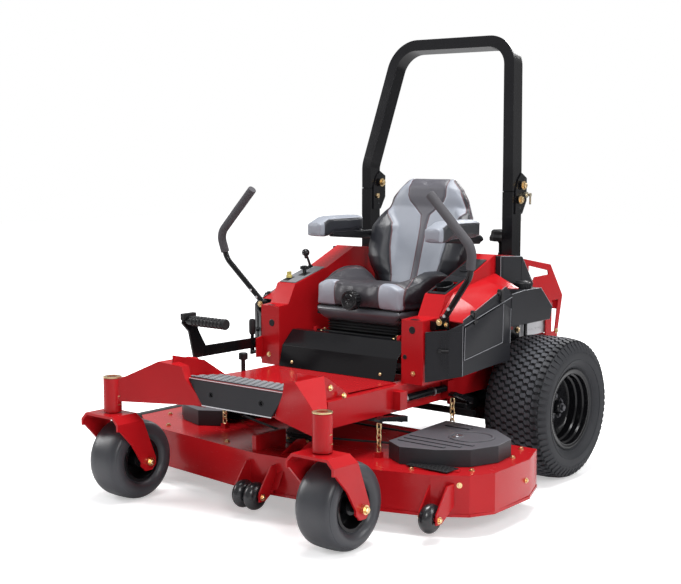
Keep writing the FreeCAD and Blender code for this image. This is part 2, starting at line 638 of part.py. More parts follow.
def hydro_drives():
    body = new_body("hydro_drives")
    face = "(rail_inner + rail_wide + plate)"
    both_sides(prism, body, "YZ", "120", f"{face} - plate - gap", [
        ("-85", "tyre_radius - 80"), ("85", "tyre_radius - 80"), ("85", "rail_low - gap"),
        ("-85", "rail_low - gap")])
    for low, high, radius in ((f"{face} - plate - gap", f"{face} + gap", "30 - gap"),
                              (f"{face} + gap", f"{face} + 70", "72"),
                              (f"{face} + 70", "tyre_track + 40", "shaft_radius")):
        both_round(rod, body, "YZ", low, high, "0", "tyre_radius", radius)
    box(body, "-120", "120", "-40", "40", "tyre_radius - 30", "tyre_radius + 30")


def engine_guard():
    body = new_body("engine_guard")
    side_x = "(post_outer - 1)"
    both_sides(prism, body, "YZ", f"{side_x} - plate", side_x, [
        ("post_rear + 6", "905"), ("284", "861"), ("392", "716"), ("352", "544"), ("352", "rail_top + 8"),
        ("250", "rail_top + 8"),
        ("250", "620"), ("post_rear + 6", "760")])
    both_sides(cut, body, "YZ", f"{side_x} - plate - 1", f"{side_x} + 1", [
        ("100", "868"), ("262", "836"), ("268", "818"), ("150", "815"), ("120", "780"), ("96", "800")])
    both_sides(cut, body, "YZ", f"{side_x} - plate - 1", f"{side_x} + 1", [
        ("300", "700"), ("356", "700"), ("330", "560"), ("300", "560")])
    inner = f"({side_x} - plate)"
    prism(body, "YZ", f"-{inner}", inner, [("372", "716"), ("391", "716"), ("377", "656"), ("358", "656")])
    box(body, f"-{inner}", inner, "344", "350", "rail_top + plate", "544")
    both_sides(prism, body, "YZ", "rail_inner", inner, [
        ("254", "rail_top + plate"), ("346", "rail_top + plate"), ("346", "rail_top + plate + 6"),
        ("254", "rail_top + plate + 6")])


# ---------------------------------------------------------------- roll bar

def rops_posts():
    body = new_body("rops_posts")
    top, outer = "(hinge_z - 26.5)", "post_outer"
    both_sides(prism, body, "YZ", "post_inner", outer, [
        ("-post_front", "rail_top + plate + 8"), ("post_rear", "rail_top + plate + 8"), ("post_rear", top),
        ("-post_front", top)])
    both_sides(cut, body, "YZ", "post_inner + 5", f"{outer} - 5", [
        ("-post_front + 5", "rail_top"), ("post_rear - 5", "rail_top"), ("post_rear - 5", "hinge_z"),
        ("-post_front + 5", "hinge_z")])
    cheek = [("-26", "hinge_z - 120"), ("post_rear", "hinge_z - 120"), ("post_rear + 34", "hinge_z - 66"),
             ("post_rear + 34", "hinge_z + 30"), ("post_rear - 6", "hinge_z + 52"), ("-6", "hinge_z + 26"),
             ("-26", "hinge_z - 20")]
    for low in ("post_inner - gap - 5", f"{outer} + gap"):
        both_sides(prism, body, "YZ", low, f"{low} + 5", cheek)
    # bolts through the cheeks, hinge pins and the foot that stands on the rail
    both_round(rod, body, "YZ", "post_inner - gap - 16", f"{outer} + gap + 14", "hinge_y", "hinge_z",
               "pin_radius")
    both_round(rod, body, "YZ", "post_inner - gap - 12", "post_inner + 5", "0", "hinge_z - 60", "7")
    both_round(rod, body, "YZ", f"{outer} - 5", f"{outer} + gap + 12", "0", "hinge_z - 60", "7")
    both_sides(prism, body, "XY", "rail_top", "rail_top + plate + 8",
               [("rail_inner", "-post_front - 12"), (outer, "-post_front - 12"), (outer, "post_rear + 12"),
                ("rail_inner", "post_rear + 12")])


def rops_hoop():
    # square tube hoop, leaning in and back above the hinge
    inset, wide, deep = 0.3, number("post_outer - post_inner"), number("post_front + post_rear")
    foot = point("(post_inner + post_outer)/2", "(post_rear - post_front)/2", "hinge_z - 24")
    knee = foot + V(0, 0, 100)
    crown = point("rops_corner", "rops_lean", "rops_top - (post_outer - post_inner)/2")
    mirror = [V(-p.x, p.y, p.z) for p in (crown, knee, foot)]
    bend = number("rops_bend")
    path = route([foot, knee, crown] + mirror, bend)
    half_x, half_y = wide / 2 - inset, deep / 2 - inset
    corners = [V(-half_x, -half_y, 0), V(half_x, -half_y, 0), V(half_x, half_y, 0), V(-half_x, half_y, 0)]
    ring = Part.makePolygon([foot + c for c in corners] + [foot + corners[0]])
    solid = path.makePipeShell([ring], True, False)
    slim = [V(c.x * (1 - 4 / half_x), c.y * (1 - 4 / half_y), 0) for c in corners]
    bore_ring = Part.makePolygon([foot + c for c in slim] + [foot + slim[0]])
    solid = solid.cut(path.makePipeShell([bore_ring], True, False))
    for side in (1, -1):
        hole = Part.makeCylinder(number("pin_radius + slip"), 200,
                                 V(side * foot.x - 100, number("hinge_y"), number("hinge_z")), AX)
        solid = solid.cut(hole)
    shaped("rops_hoop", solid.removeSplitter())


def rops_pin():
    body = new_body("rops_pin_left")
    low = "(post_outer + gap + 5 + gap)"
    rod(body, "YZ", low, f"{low} + 6", "post_rear + 18", "hinge_z - 40", "11")
    rod(body, "YZ", f"{low} + 6", f"{low} + 30", "post_rear + 18", "hinge_z - 40", "5")
    box(body, f"{low} + 24", f"{low} + 30", "post_rear + 15", "post_rear + 21", "hinge_z - 80",
        "hinge_z - 36")
    mirrored("rops_pin_right", body)


# ---------------------------------------------------------------- controls

def lever_hub():
    body = new_body("lever_hub_left")
    z = "(lever_z - 8)"
    rod(body, "YZ", "console_outer - 30", "lever_x - 16", "-lever_y", z, "9 - slip")
    box(body, "console_outer + gap", "lever_x - 15", "-lever_y - 17", "-lever_y + 17", f"{z} - 17",
        f"{z} + 17")
    box(body, "lever_x - 20", "lever_x + 20", "-lever_y + 17 + gap", "-lever_y + 25", f"{z} - 17",
        f"{z} + 34")
    box(body, "lever_x - 20", "lever_x - 15", "-lever_y - 17", "-lever_y + 18", f"{z} - 17", f"{z} + 10")
    rod(body, "XZ", "-lever_y - 20", "-lever_y + 30", "lever_x + 4", f"{z} + 16", "6")
    mirrored("lever_hub_right", body)


def levers():
    # resting swung outwards; the root eye turns on the hub's pin
    root = point("lever_x + 4", "-lever_y", "lever_z + 8")
    grip_low = point("lever_x + 166", "-lever_y - 55", "lever_z + 196")
    bend = point("lever_x + 186", "-lever_y - 74", "lever_z + 303")
    top = point("lever_x - 6", "-lever_y - 75", "lever_z + 499")
    start = root + (grip_low - root).normalize() * 10
    stem_end = bend + (grip_low - bend).normalize() * 60
    radius = number("lever_tube")
    stem = tube([start, grip_low, stem_end], 90, radius)
    eye = Part.makeCylinder(14, 30, V(root.x, root.y - 15, root.z), AY)
    hole = Part.makeCylinder(6 + number("slip"), 60, V(root.x, root.y - 30, root.z), AY)
    stem = stem.fuse(eye).cut(hole).removeSplitter()
    shaped("lever_tube_left", stem)
    low_end = grip_low + (bend - grip_low).normalize() * 30
    grip = tube([low_end, bend, top], 70, number("grip_radius"))
    core = tube([low_end + (low_end - bend).normalize() * 5, bend, bend + (top - bend).normalize() * 20],
                70, radius + number("gap"))
    grip = grip.cut(core).removeSplitter()
    shaped("lever_grip_left", grip)
    mirrored("lever_tube_right", NODES["lever_tube_left"])
    mirrored("lever_grip_right", NODES["lever_grip_left"])


def lift_pedal():
    body = new_body("lift_pedal")
    low, high = "-console_outer - 24", "-console_outer - 14"
    prism(body, "YZ", low, high, [
        ("-704", "530"), ("-704", "572"), ("-1020", "574"), ("-1060", "640"), ("-1084", "708"),
        ("-1140", "712"),
        ("-1148", "676"), ("-1112", "640"), ("-1086", "530")])
    rod(body, "YZ", low, "-228", "-1122", "688", "19")
    rod(body, "YZ", high, "-console_outer - gap", "-722", "551", "12")


def brake_lever():
    body = new_body("brake_lever")
    low, high = "-console_outer - 42", "-console_outer - 32"
    prism(body, "YZ", low, high, [("-732", "500"), ("-712", "500"), ("-716", "590"), ("-728", "590")])
    rod(body, "XY", "585", "648", "-console_outer - 37", "-722", "12")
    rod(body, "YZ", high, "-console_outer - gap", "-722", "512", "8")


def panel_point(y):
    # height of the control panel's face at a distance behind the front of the consoles
    return f"(cap_top + ({y} + console_front - 104)*58/(-390 + console_front - 104) + 5)"


def throttle_lever():
    body = new_body("throttle_lever")
    x, y = "(-console_outer + 30)", "-420"
    top = panel_point(y)
    rod(body, "YZ", f"{x} - 9", f"{x} + 9", y, f"{top} + 6", "5")
    prism(body, "YZ", f"{x} - 3", f"{x} + 3", [(f"{y} - 5", f"{top} + 3"), (f"{y} + 5", f"{top} + 5"),
                                               (f"{y} - 24", f"{top} + 62"), (f"{y} - 32", f"{top} + 60")])
    rod(body, "YZ", f"{x} - 11", f"{x} + 11", f"{y} - 31", f"{top} + 66", "13")


def small_controls():
    top = panel_point("-500")
    body = new_body("pto_knob")
    rod(body, "XY", f"{top} + 3", f"{top} + 22", "-console_inner - 36", "-500", "8")
    rod(body, "XY", f"{top} + 22", f"{top} + 34", "-console_inner - 36", "-500", "17")
    top = panel_point("-560")
    body = new_body("ignition_key")
    rod(body, "XY", f"{top} + 4", f"{top} + 14", "-console_outer + 30", "-560", "13")
    box(body, "-console_outer + 27", "-console_outer + 33", "-572", "-548", f"{top} + 14", f"{top} + 30")


def fuel_cap():
    body = new_body("fuel_cap")
    rod(body, "XY", "tank_deck + gap", "tank_deck + 26", "tank_outer - 50", "-110", "36")
    soften(body, "4", lambda edge: edge.BoundBox.ZMin > number("tank_deck + 20"))


# ---------------------------------------------------------------- seat

def seat_frame():
    body = new_body("seat_frame")
    box(body, "-200", "200", "-hinge_rod_y - 2", "-170", "seat_pan + gap", "seat_pan + 16")
    box(body, "-175", "175", "-540", "-190", "seat_pan + 15", "680")
    cut_box(body, "-165", "165", "-530", "-200", "seat_pan + 16", "680")
    box(body, "-215", "215", "-578", "-165", "680", "seat_low - 12 - gap")
    cut_box(body, "-205", "205", "-568", "-175", "686", "seat_low - 20")
    box(body, "-215", "215", "-578", "-176", "seat_low - 13 - gap", "seat_low - gap")
    rod(body, "YZ", "-230", "230", "-hinge_rod_y", "hinge_rod_z", "hinge_rod")
    back_shell(body)


def seat_cushion():
    body = new_body("seat_cushion")
    prism(body, "YZ", "-seat_half", "seat_half", [
        ("-seat_front", "seat_low + 8"), ("-seat_front", "seat_high"), ("-seat_front + 60", "seat_high + 8"),
        ("-seat_rear - 120", "seat_high - 14"), ("-seat_rear - 60", "seat_low + 70"),
        ("-seat_rear - 60", "seat_low"),
        ("-seat_front + 20", "seat_low")])
    side, brow = number("seat_half") - 1, number("seat_high") - 20
    soften(body, "24", lambda edge: along(edge, AY, 0.03) and abs(edge.CenterOfMass.x) > side
           and edge.CenterOfMass.z > brow)


def seat_backrest():
    body = new_body("seat_backrest")
    foot_y, foot_z = "(-seat_rear - 60 + gap)", "(seat_low + 6)"
    prism(body, "XZ", "-seat_rear - 60", "-seat_rear + back_lean + 60", [
        ("-back_half + 40", foot_z), ("-back_half", "seat_high + 40"), ("-back_half", "1010"),
        ("-back_half + 50", "1120"), ("-150", "back_top - 10"),
        ("-120", "back_top"), ("120", "back_top"), ("150", "back_top - 10"), ("back_half - 50", "1120"),
        ("back_half", "1010"),
        ("back_half", "seat_high + 40"), ("back_half - 40", foot_z)])
    across = ("-back_half - 1", "back_half + 1")
    cut(body, "YZ", *across, [(foot_y, foot_z), (foot_y, "seat_high"),
                              (f"{foot_y} + back_lean", "back_top + 1"),
                              ("-seat_rear - 61", "back_top + 1"), ("-seat_rear - 61", foot_z)])
    cut(body, "YZ", *across, [(f"{foot_y} + 60", f"{foot_z} - 1"), (f"{foot_y} + back_thick", "seat_high"),
                              (f"{foot_y} + back_lean + back_thick - 40", "back_top + 1"),
                              ("-seat_rear + back_lean + 61", "back_top + 1"),
                              ("-seat_rear + back_lean + 61", f"{foot_z} - 1")])


def back_shell(body):
    # folded plate behind the cushions, carried on the seat's base
    foot = "(-seat_rear - 60 + gap)"
    prism(body, "YZ", "-back_half + 30", "back_half - 30", [
        (f"{foot} + 62", "seat_low + gap"), (f"{foot} + back_thick + 2", "seat_high"),
        (f"{foot} + back_thick + 41", "1000"),
        (f"{foot} + back_thick + 49", "1000"), (f"{foot} + back_thick + 10", "seat_high"),
        (f"{foot} + 70", "seat_low - 13"),
        ("-200", "seat_low - 13"), ("-200", "seat_low - gap"), (f"{foot} + 62", "seat_low - gap")])


def armrests():
    body = new_body("armrest_left")
    low, high = "armrest_low", "armrest_high"
    prism(body, "YZ", "armrest_in", "armrest_out", [("-492", f"{low} + 20"), ("-470", low),
                                                    ("-200", f"{low} + 4"), ("-180", f"{low} + 30"),
                                                    ("-190", f"{high} - 6"), ("-300", high),
                                                    ("-480", f"{high} - 4"), ("-494", f"{high} - 24")])
    prism(body, "YZ", "armrest_in + 12", "armrest_in + 40", [
        ("-400", f"{low} - 22"), ("-400", low), ("-200", f"{low} + 4"), ("-120", f"{low} + 2"),
        ("-100", f"{low} - 22"), ("-130", f"{low} - 34"), ("-200", f"{low} - 30")])
    rod(body, "YZ", "back_half + gap", "armrest_in + 12", "-124", f"{low} - 14", "14")
    mirrored("armrest_right", body)


def seat_knob():
    body = new_body("seat_knob")
    rod(body, "XZ", "-seat_front - 12", "-seat_front - gap", "0", "seat_low + 34", "16")
    rod(body, "XZ", "-seat_front - 44", "-seat_front - 12", "0", "seat_low + 34", "39")


# ---------------------------------------------------------------- cutting deck

DECK_LEFT = [("0", "-1195"), ("330", "-1158"), ("700", "-1045"), ("815", "-965"), ("862", "-873"),
             ("850", "-620"), ("786", "-460")]
DECK_RIGHT = [("-786", "-460"), ("-862", "-600"), ("-862", "-990"), ("-700", "-1110")]


def deck_shell():
    body = new_body("deck_shell")
    prism(body, "XY", "deck_low", "deck_top", DECK_LEFT + DECK_RIGHT)
    doc.recompute()
    floor = [f"Face{i}" for i, face in enumerate(body.Shape.Faces, start=1)
             if face.CenterOfMass.z < number("deck_low") + 1]
    shell = body.newObject("PartDesign::Thickness", "shell")
    shell.Base = (shell.BaseFeature, floor)
    shell.setExpression("Value", bound("deck_wall"))
    shell.Reversed = True
    # side discharge
    cut_box(body, "-863", "-850", "-970", "-640", "deck_low + 16", "deck_top - 8")
    # spindle holes and the raised ribs across the top
    for x, y in spindles():
        bore(body, "XY", "deck_top - 20", "deck_top + 1", x, y, "46")
    box(body, "-40", "-20", "-1170", "-1000", "deck_top", "deck_top + 60")
    # chain lugs, front and rear
    for y, height in (("-950", "20"), ("-470", "40")):
        for side in (1, -1):
            box(body, *flank(side, "388", "412"), f"{y} - 12", f"{y} + 12", "deck_top",
                f"deck_top + {height}")
    # roller brackets: a pair of cheeks and the bolt through them
    for x, y, half in rollers():
        for low, high in ((f"{x} - {half} - 9", f"{x} - {half} - 3"),
                          (f"{x} + {half} + 3", f"{x} + {half} + 9")):
            prism(body, "YZ", low, high, [
                (f"{y} - 16", f"{ROLLER_Z} - 16"), (f"{y} + 16", f"{ROLLER_Z} - 16"),
                (f"{y} + 90", f"{ROLLER_Z} + 30"), (f"{y} + 90", "deck_top - 30"),
                (f"{y} + 50", "deck_top - 30"), (f"{y} - 16", f"{ROLLER_Z} + 20")])
        rod(body, "YZ", f"{x} - {half} - 16", f"{x} + {half} + 16", y, ROLLER_Z, "8")


ROLLER_Z = "(deck_low + 10)"


def rollers():
    return [("30", "-1262", "58"), ("735", "-1092", "30"), ("-735", "-1168", "30")]


def spindles():
    return [("spindle_x", "-spindle_y"), ("0", "-middle_y"), ("-spindle_x", "-spindle_y")]


def anti_scalp_rollers():
    for label, (x, y, half) in zip(("front_rollers", "corner_roller_left", "corner_roller_right"), rollers()):
        body = new_body(label)
        wheel, span = "roller_radius", (f"{half}*2 - 2" if label == "front_rollers" else f"{half}*2")
        count = 2 if label == "front_rollers" else 1
        width = f"(({span})/{count})"
        for i in range(count):
            middle = f"({width}*({i} - {(count - 1) / 2}) + 2*({i} - {(count - 1) / 2}))"
            a = f"({width}/2)"
            turned(body, "XY", "H_Axis", [
                (f"{middle} - {a}", "8 + slip"), (f"{middle} + {a}", "8 + slip"),
                (f"{middle} + {a}", f"{wheel} - 16"),
                (f"{middle} + {a} - 7", f"{wheel} - 4"), (f"{middle} + {a}*0.3", wheel),
                (f"{middle} - {a}*0.3", wheel),
                (f"{middle} - {a} + 7", f"{wheel} - 4"), (f"{middle} - {a}", f"{wheel} - 16")])
        place(body, x, y, ROLLER_Z)


def spindle_parts():
    housings = new_body("spindle_housings")
    for x, y in spindles():
        rod(housings, "XY", "deck_top - 70", "pulley_z - 6", x, y, "45")
        rod(housings, "XY", "deck_top", "deck_top + 8", x, y, "82")
    for x, y in spindles():
        bore(housings, "XY", "deck_top - 71", "pulley_z", x, y, "15 + slip")
    for label, (x, y) in zip(("spindle_left", "spindle_middle", "spindle_right"), spindles()):
        body = new_body(label)
        low, high, wheel = "pulley_z", "(pulley_z + 22)", "pulley_radius"
        rod(body, "XY", "blade_z - 10", f"{high} + 6", "0", "0", "15")
        turned(body, "XZ", "V_Axis", [("14", low), (wheel, low), (wheel, f"{low} + 4"),
                                      (f"{wheel} - 10", f"{low} + 7"),
                                      (f"{wheel} - 10", f"{high} - 7"), (wheel, f"{high} - 4"),
                                      (wheel, high), ("14", high)])
        box(body, "-blade_radius", "blade_radius", "-32", "32", "blade_z", "blade_z + 7")
        place(body, x, y, "0")


def deck_belt():
    # tangent loop round the three pulleys, lying just clear of their grooves
    groove = number("pulley_radius - 10 + gap")
    left, middle, right = (point(x, y, "pulley_z + 7.5") for x, y in spindles())
    centres = [left, right, middle]

    def loop(radius):
        runs = []
        for here, there in zip(centres, centres[1:] + centres[:1]):
            out = (there - here).cross(AZ).normalize() * radius
            runs.append((here + out, there + out))
        edges = []
        for i, (start, end) in enumerate(runs):
            centre, following = centres[(i + 1) % 3], runs[(i + 1) % 3][0]
            crest = centre + ((end - centre) + (following - centre)).normalize() * radius
            edges.append(Part.LineSegment(start, end).toShape())
            edges.append(Part.Arc(end, crest, following).toShape())
        return Part.Face(Part.Wire(edges))

    shaped("deck_belt", loop(groove + 9.5).cut(loop(groove)).extrude(V(0, 0, 7)))


def belt_covers():
    body = new_body("belt_covers")
    low, high = "(deck_top + gap)", "(pulley_z + 44)"
    outline = [("392", "-500"), ("430", "-930"), ("520", "-985"), ("650", "-940"), ("748", "-860"),
               ("790", "-740"), ("770", "-620"), ("640", "-520")]
    for side in (1, -1):
        prism(body, "XY", low, high, on_side(side, outline))
    doc.recompute()
    open_faces = [f"Face{i}" for i, face in enumerate(body.Shape.Faces, start=1)
                  if face.CenterOfMass.z < number(low) + 1 or abs(face.CenterOfMass.x) < 420]
    shell = body.newObject("PartDesign::Thickness", "shell")
    shell.Base = (shell.BaseFeature, open_faces)
    shell.Value = 4
    shell.Reversed = True


def deck_chains():
    # each chain is a run of closed links, alternately turned a quarter, hanging clear inside each other
    links = []
    wire, gap = number("chain_wire"), number("gap")
    for y, low, high in ((-950, "deck_top + 20 + gap", "360"), (-470, "deck_top + 40 + gap", "385")):
        start, end = number(low), number(high)
        count = 2 * round((end - start) / 50) + 1
        pitch = (end - start - 4 * wire - gap) / count
        reach = (pitch + 2 * wire + gap) / 2
        for side in (1, -1):
            for i in range(count):
                z = start + wire + reach + pitch * i
                across = (AX if i % 2 else AY) * (3.2 * wire)
                middle = V(side * 400, y, z)
                corners = [middle + across * a + V(0, 0, reach * b)
                           for a, b in ((-1, -1), (1, -1), (1, 1), (-1, 1))]
                spot = (corners[0] + corners[1]) * 0.5
                ring = Part.Wire(Part.makeCircle(wire, spot, across))
                loop = Part.makePolygon([spot, corners[1], corners[2], corners[3], corners[0], spot])
                links.append(loop.makePipeShell([ring], True, False, 1))
    shaped("deck_chains", Part.makeCompound(links))


def chute_deflector():
    body = new_body("chute_deflector")
    x = "(862 + 9 + gap)"
    rod(body, "XZ", "-985", "-625", f"-{x}", "deck_top - 6", "9")
    prism(body, "XZ", "-985", "-625", [
        (f"-{x}", "deck_top + 1"), (f"-{x} - 90", "deck_top - 14"), (f"-{x} - 180", "deck_low + 70"),
        (f"-{x} - 186", "deck_low + 70"),
        (f"-{x} - 96", "deck_top - 22"), (f"-{x}", "deck_top - 8")])


def side_struts():
    outer = "(rail_inner + rail_wide)"
    body = new_body("side_struts")
    for side in (1, -1):
        ends = ("-746 + gap", "-470 - gap")
        rod(body, "XZ", *ends, f"{side}*({outer} + 17)", "rail_low + 50", "15")


def rock_shaft(label, y, z, tip_y, tip_z):
    body = new_body(label)
    rod(body, "YZ", "-394", "394", y, z, "lift_shaft")
    for side in (1, -1):
        ends = flank(side, "388", "412")
        prism(body, "YZ", *ends, [(f"{y} + 14", f"{z} - 12"), (f"{y} + 14", f"{z} + 12"),
                                  (f"{tip_y} + 8", f"{tip_z} + 16"),
                                  (f"{tip_y} - 12", f"{tip_z} + 10"), (f"{tip_y} - 12", tip_z),
                                  (f"{tip_y} + 12", tip_z)])


def rock_shafts():
    rock_shaft("front_lift_shaft", "-front_shaft", "rail_low - lift_drop", "-950", "360 + gap")
    rock_shaft("rear_lift_shaft", "-rear_shaft", "rail_low - lift_drop", "-470", "385 + gap")


# ---------------------------------------------------------------- build, check and write

MAKERS = (drive_tyre, drive_rim, caster_tyre, caster_rim, caster_fork, main_frame, front_carrier,
          footrest_pads, kick_panel, consoles, control_panel, side_covers, fuel_tanks, engine,
          air_cleaner, hydro_drives, engine_guard, rops_posts, rops_hoop, rops_pin, lever_hub,
          levers, lift_pedal, brake_lever, height_dial, throttle_lever, small_controls, fuel_cap,
          seat_frame, seat_cushion, seat_backrest, armrests, seat_knob, deck_shell,
          anti_scalp_rollers, spindle_parts, deck_belt, belt_covers, deck_chains, chute_deflector,
          side_struts, rock_shafts)
for make in MAKERS:
    make()
doc.recompute()

faults = [thing.Label for thing in doc.Objects if {"Invalid", "Error"} & set(thing.State)]
for label, piece in NODES.items():
    if piece.Shape.isNull() or not piece.Shape.isValid() or not piece.Shape.Solids:
        faults.append(label + " has no valid solid")
if faults:
    raise RuntimeError("failed: " + ", ".join(faults))

os.makedirs("parts", exist_ok=True)
for label, piece in NODES.items():
    piece.Shape.exportStep(f"parts/{label}.step")
    print(label, len(piece.Shape.Solids), round(piece.Shape.Volume))
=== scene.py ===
import math
import random

import bmesh
import bpy
from mathutils import Matrix, Vector, noise


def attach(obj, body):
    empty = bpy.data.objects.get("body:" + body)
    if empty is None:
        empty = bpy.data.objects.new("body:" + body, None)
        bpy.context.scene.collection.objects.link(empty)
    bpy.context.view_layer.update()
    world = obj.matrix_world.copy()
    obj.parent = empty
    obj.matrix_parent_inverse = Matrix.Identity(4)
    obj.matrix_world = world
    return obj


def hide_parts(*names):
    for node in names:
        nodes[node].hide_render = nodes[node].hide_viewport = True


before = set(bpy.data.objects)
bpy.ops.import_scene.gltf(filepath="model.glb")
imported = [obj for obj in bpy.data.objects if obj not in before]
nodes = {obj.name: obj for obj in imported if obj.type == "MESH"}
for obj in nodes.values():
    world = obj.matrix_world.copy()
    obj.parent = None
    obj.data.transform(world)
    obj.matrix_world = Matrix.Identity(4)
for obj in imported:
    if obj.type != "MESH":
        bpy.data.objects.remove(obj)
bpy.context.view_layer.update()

random.seed(7)


# ---------------------------------------------------------------- camera, light and floor
# The mower stands on a white sweep under soft boxes: one broad box overhead, one in front on the driver's left, a
# smaller one on the right, and strips behind that draw bright lines along the tops of the panels.

camera_data = bpy.data.cameras.new("camera")
camera_data.sensor_width = 36
camera_data.lens = 68.45
camera_data.clip_end = 60
camera = bpy.data.objects.new("camera", camera_data)
camera.location = (3.2868, -4.6982, 1.3749)
camera.rotation_euler = (math.radians(90 - 6.39), 0, math.radians(39.34))
bpy.context.scene.collection.objects.link(camera)
bpy.context.scene.camera = camera
bpy.context.scene.view_settings.view_transform = "Standard"


def soft_box(name, place, aim, width, height, watts):
    lamp = bpy.data.lights.new(name, "AREA")
    lamp.shape = "RECTANGLE"
    lamp.size = width
    lamp.size_y = height
    lamp.energy = watts
    stand = bpy.data.objects.new(name, lamp)
    stand.location = place
    stand.rotation_euler = (Vector(aim) - Vector(place)).to_track_quat("-Z", "Y").to_euler()
    bpy.context.scene.collection.objects.link(stand)


middle = (0, -0.3, 0.7)
soft_box("overhead_box", (0.4, -0.7, 4.6), middle, 2.4, 1.8, 235)
soft_box("front_box", (4.4, -4.2, 3.2), middle, 1.6, 1.6, 112)
soft_box("left_strip", (4.8, 1.0, 2.4), middle, 0.5, 2.8, 85)
soft_box("right_box", (-4.4, -3.0, 2.6), middle, 1.2, 2.0, 105)
soft_box("back_strip", (-0.6, 4.6, 3.4), middle, 3.2, 0.7, 115)


def shaded(tree, kind, inputs, **settings):
    # adds a shader node: an input given as a socket is linked, anything else is its value
    node = tree.nodes.new("ShaderNode" + kind)
    for name, value in settings.items():
        setattr(node, name, value)
    for name, value in inputs.items():
        if isinstance(value, bpy.types.NodeSocket):
            tree.links.new(value, node.inputs[name])
        else:
            node.inputs[name].default_value = value
    return node.outputs


world = bpy.data.worlds.new("white_room")
world.use_nodes = True
bpy.context.scene.world = world
tree = world.node_tree
background = tree.nodes["Background"]
path = shaded(tree, "LightPath", {})
seen = shaded(tree, "Math", {0: path["Is Camera Ray"], 1: path["Is Transmission Ray"]}, operation="MAXIMUM")[0]
mirrored = shaded(tree, "Math", {0: path["Is Glossy Ray"], 1: 0.30, 2: seen}, operation="MULTIPLY_ADD")[0]
room = shaded(tree, "MapRange", {"Value": mirrored, "To Min": 0.27, "To Max": 1.0})[0]
tree.links.new(room, background.inputs["Strength"])
background.inputs["Color"].default_value = (1, 1, 1, 1)

sweep = bmesh.new()
bmesh.ops.create_grid(sweep, x_segments=2, y_segments=2, size=16)
floor_mesh = bpy.data.meshes.new("floor")
sweep.to_mesh(floor_mesh)
sweep.free()
floor = bpy.data.objects.new("floor", floor_mesh)
bpy.context.scene.collection.objects.link(floor)
paper = bpy.data.materials.new("white_paper")
paper.use_nodes = True
tree = paper.node_tree
paper_shader = tree.nodes["Principled BSDF"]
paper_shader.inputs["Base Color"].default_value = (0.86, 0.86, 0.87, 1)
paper_shader.inputs["Roughness"].default_value = 0.9
paper_shader.inputs["Specular IOR Level"].default_value = 0.1
paper_shader.inputs["Emission Color"].default_value = (1, 1, 1, 1)
path = shaded(tree, "LightPath", {})
spot = shaded(tree, "TexCoord", {})["Object"]
away = shaded(tree, "VectorMath", {0: spot, 1: (0, -0.5, 0)}, operation="DISTANCE")["Value"]
lift = shaded(tree, "MapRange", {"Value": away, "From Min": 0.9, "From Max": 2.3, "To Min": 0.42, "To Max": 1.0},
              interpolation_type="SMOOTHSTEP")[0]
glow = shaded(tree, "Math", {0: path["Is Camera Ray"], 1: lift}, operation="MULTIPLY")[0]
tree.links.new(glow, paper_shader.inputs["Emission Strength"])
floor.data.materials.append(paper)


# ---------------------------------------------------------------- red steelwork
# The frame, front carrier, consoles, guard, forks and deck are folded and welded steel plate under gloss red enamel.
# The enamel has a faint orange peel, drifts a little in shade, and holds hairline scratches.

def coating(name, colour, shade, roughness, grain, depth, metallic=0.0, shine=0.22):
    # colour drifts to shade in soft clouds, hairlines dull the surface, and a fine grain gives it its bump
    material = bpy.data.materials.new(name)
    material.use_nodes = True
    tree = material.node_tree
    shader = tree.nodes["Principled BSDF"]
    shader.inputs["Metallic"].default_value = metallic
    shader.inputs["Specular IOR Level"].default_value = shine
    spot = shaded(tree, "TexCoord", {})["Object"]
    cloud = shaded(tree, "TexNoise", {"Vector": spot, "Scale": 6, "Detail": 6})["Fac"]
    tint = shaded(tree, "Mix", {"Factor": cloud, "A": (*colour, 1), "B": (*shade, 1)}, data_type="RGBA")["Result"]
    fine = shaded(tree, "TexNoise", {"Vector": spot, "Scale": grain, "Detail": 3})["Fac"]
    stretch = shaded(tree, "Mapping", {"Vector": spot, "Rotation": (0.4, 0.7, 0.2), "Scale": (6, 90, 150)})[0]
    hairline = shaded(tree, "TexNoise", {"Vector": stretch, "Scale": 3, "Detail": 2})["Fac"]
    mark = shaded(tree, "MapRange", {"Value": hairline, "From Min": 0.62, "From Max": 0.72, "To Max": 0.075})[0]
    rough = shaded(tree, "MapRange", {"Value": cloud, "To Min": max(roughness - 0.06, 0.02),
                                      "To Max": roughness + 0.06})[0]
    duller = shaded(tree, "Math", {0: rough, 1: mark}, operation="ADD", use_clamp=True)[0]
    bump = shaded(tree, "Bump", {"Height": fine, "Strength": 0.6, "Distance": depth})["Normal"]
    tree.links.new(tint, shader.inputs["Base Color"])
    tree.links.new(duller, shader.inputs["Roughness"])
    tree.links.new(bump, shader.inputs["Normal"])
    return material


def eased(node, material, width=0.0015, limit=28, segments=2):
    # the CAD node keeps its shape; its folded edges get the small radius that a press brake leaves
    piece = nodes[node]
    piece.data.materials.clear()
    piece.data.materials.append(material)
    weld = piece.modifiers.new("weld", "WELD")
    weld.merge_threshold = 0.00002
    flat = piece.modifiers.new("flat", "DECIMATE")
    flat.decimate_type = "DISSOLVE"
    flat.angle_limit = math.radians(0.5)
    radius = piece.modifiers.new("radius", "BEVEL")
    radius.width = width
    radius.segments = segments
    radius.limit_method = "ANGLE"
    radius.angle_limit = math.radians(limit)
    radius.harden_normals = False
    shading = piece.modifiers.new("shading", "WEIGHTED_NORMAL")
    shading.keep_sharp = False
    return piece


def plate(form, outline, push):
    # a flat sheet drawn by its outline, then given its thickness
    face = form.faces.new([form.verts.new(point) for point in outline])
    raised = bmesh.ops.extrude_face_region(form, geom=[face])["geom"]
    bmesh.ops.translate(form, verts=[part for part in raised if isinstance(part, bmesh.types.BMVert)], vec=push)


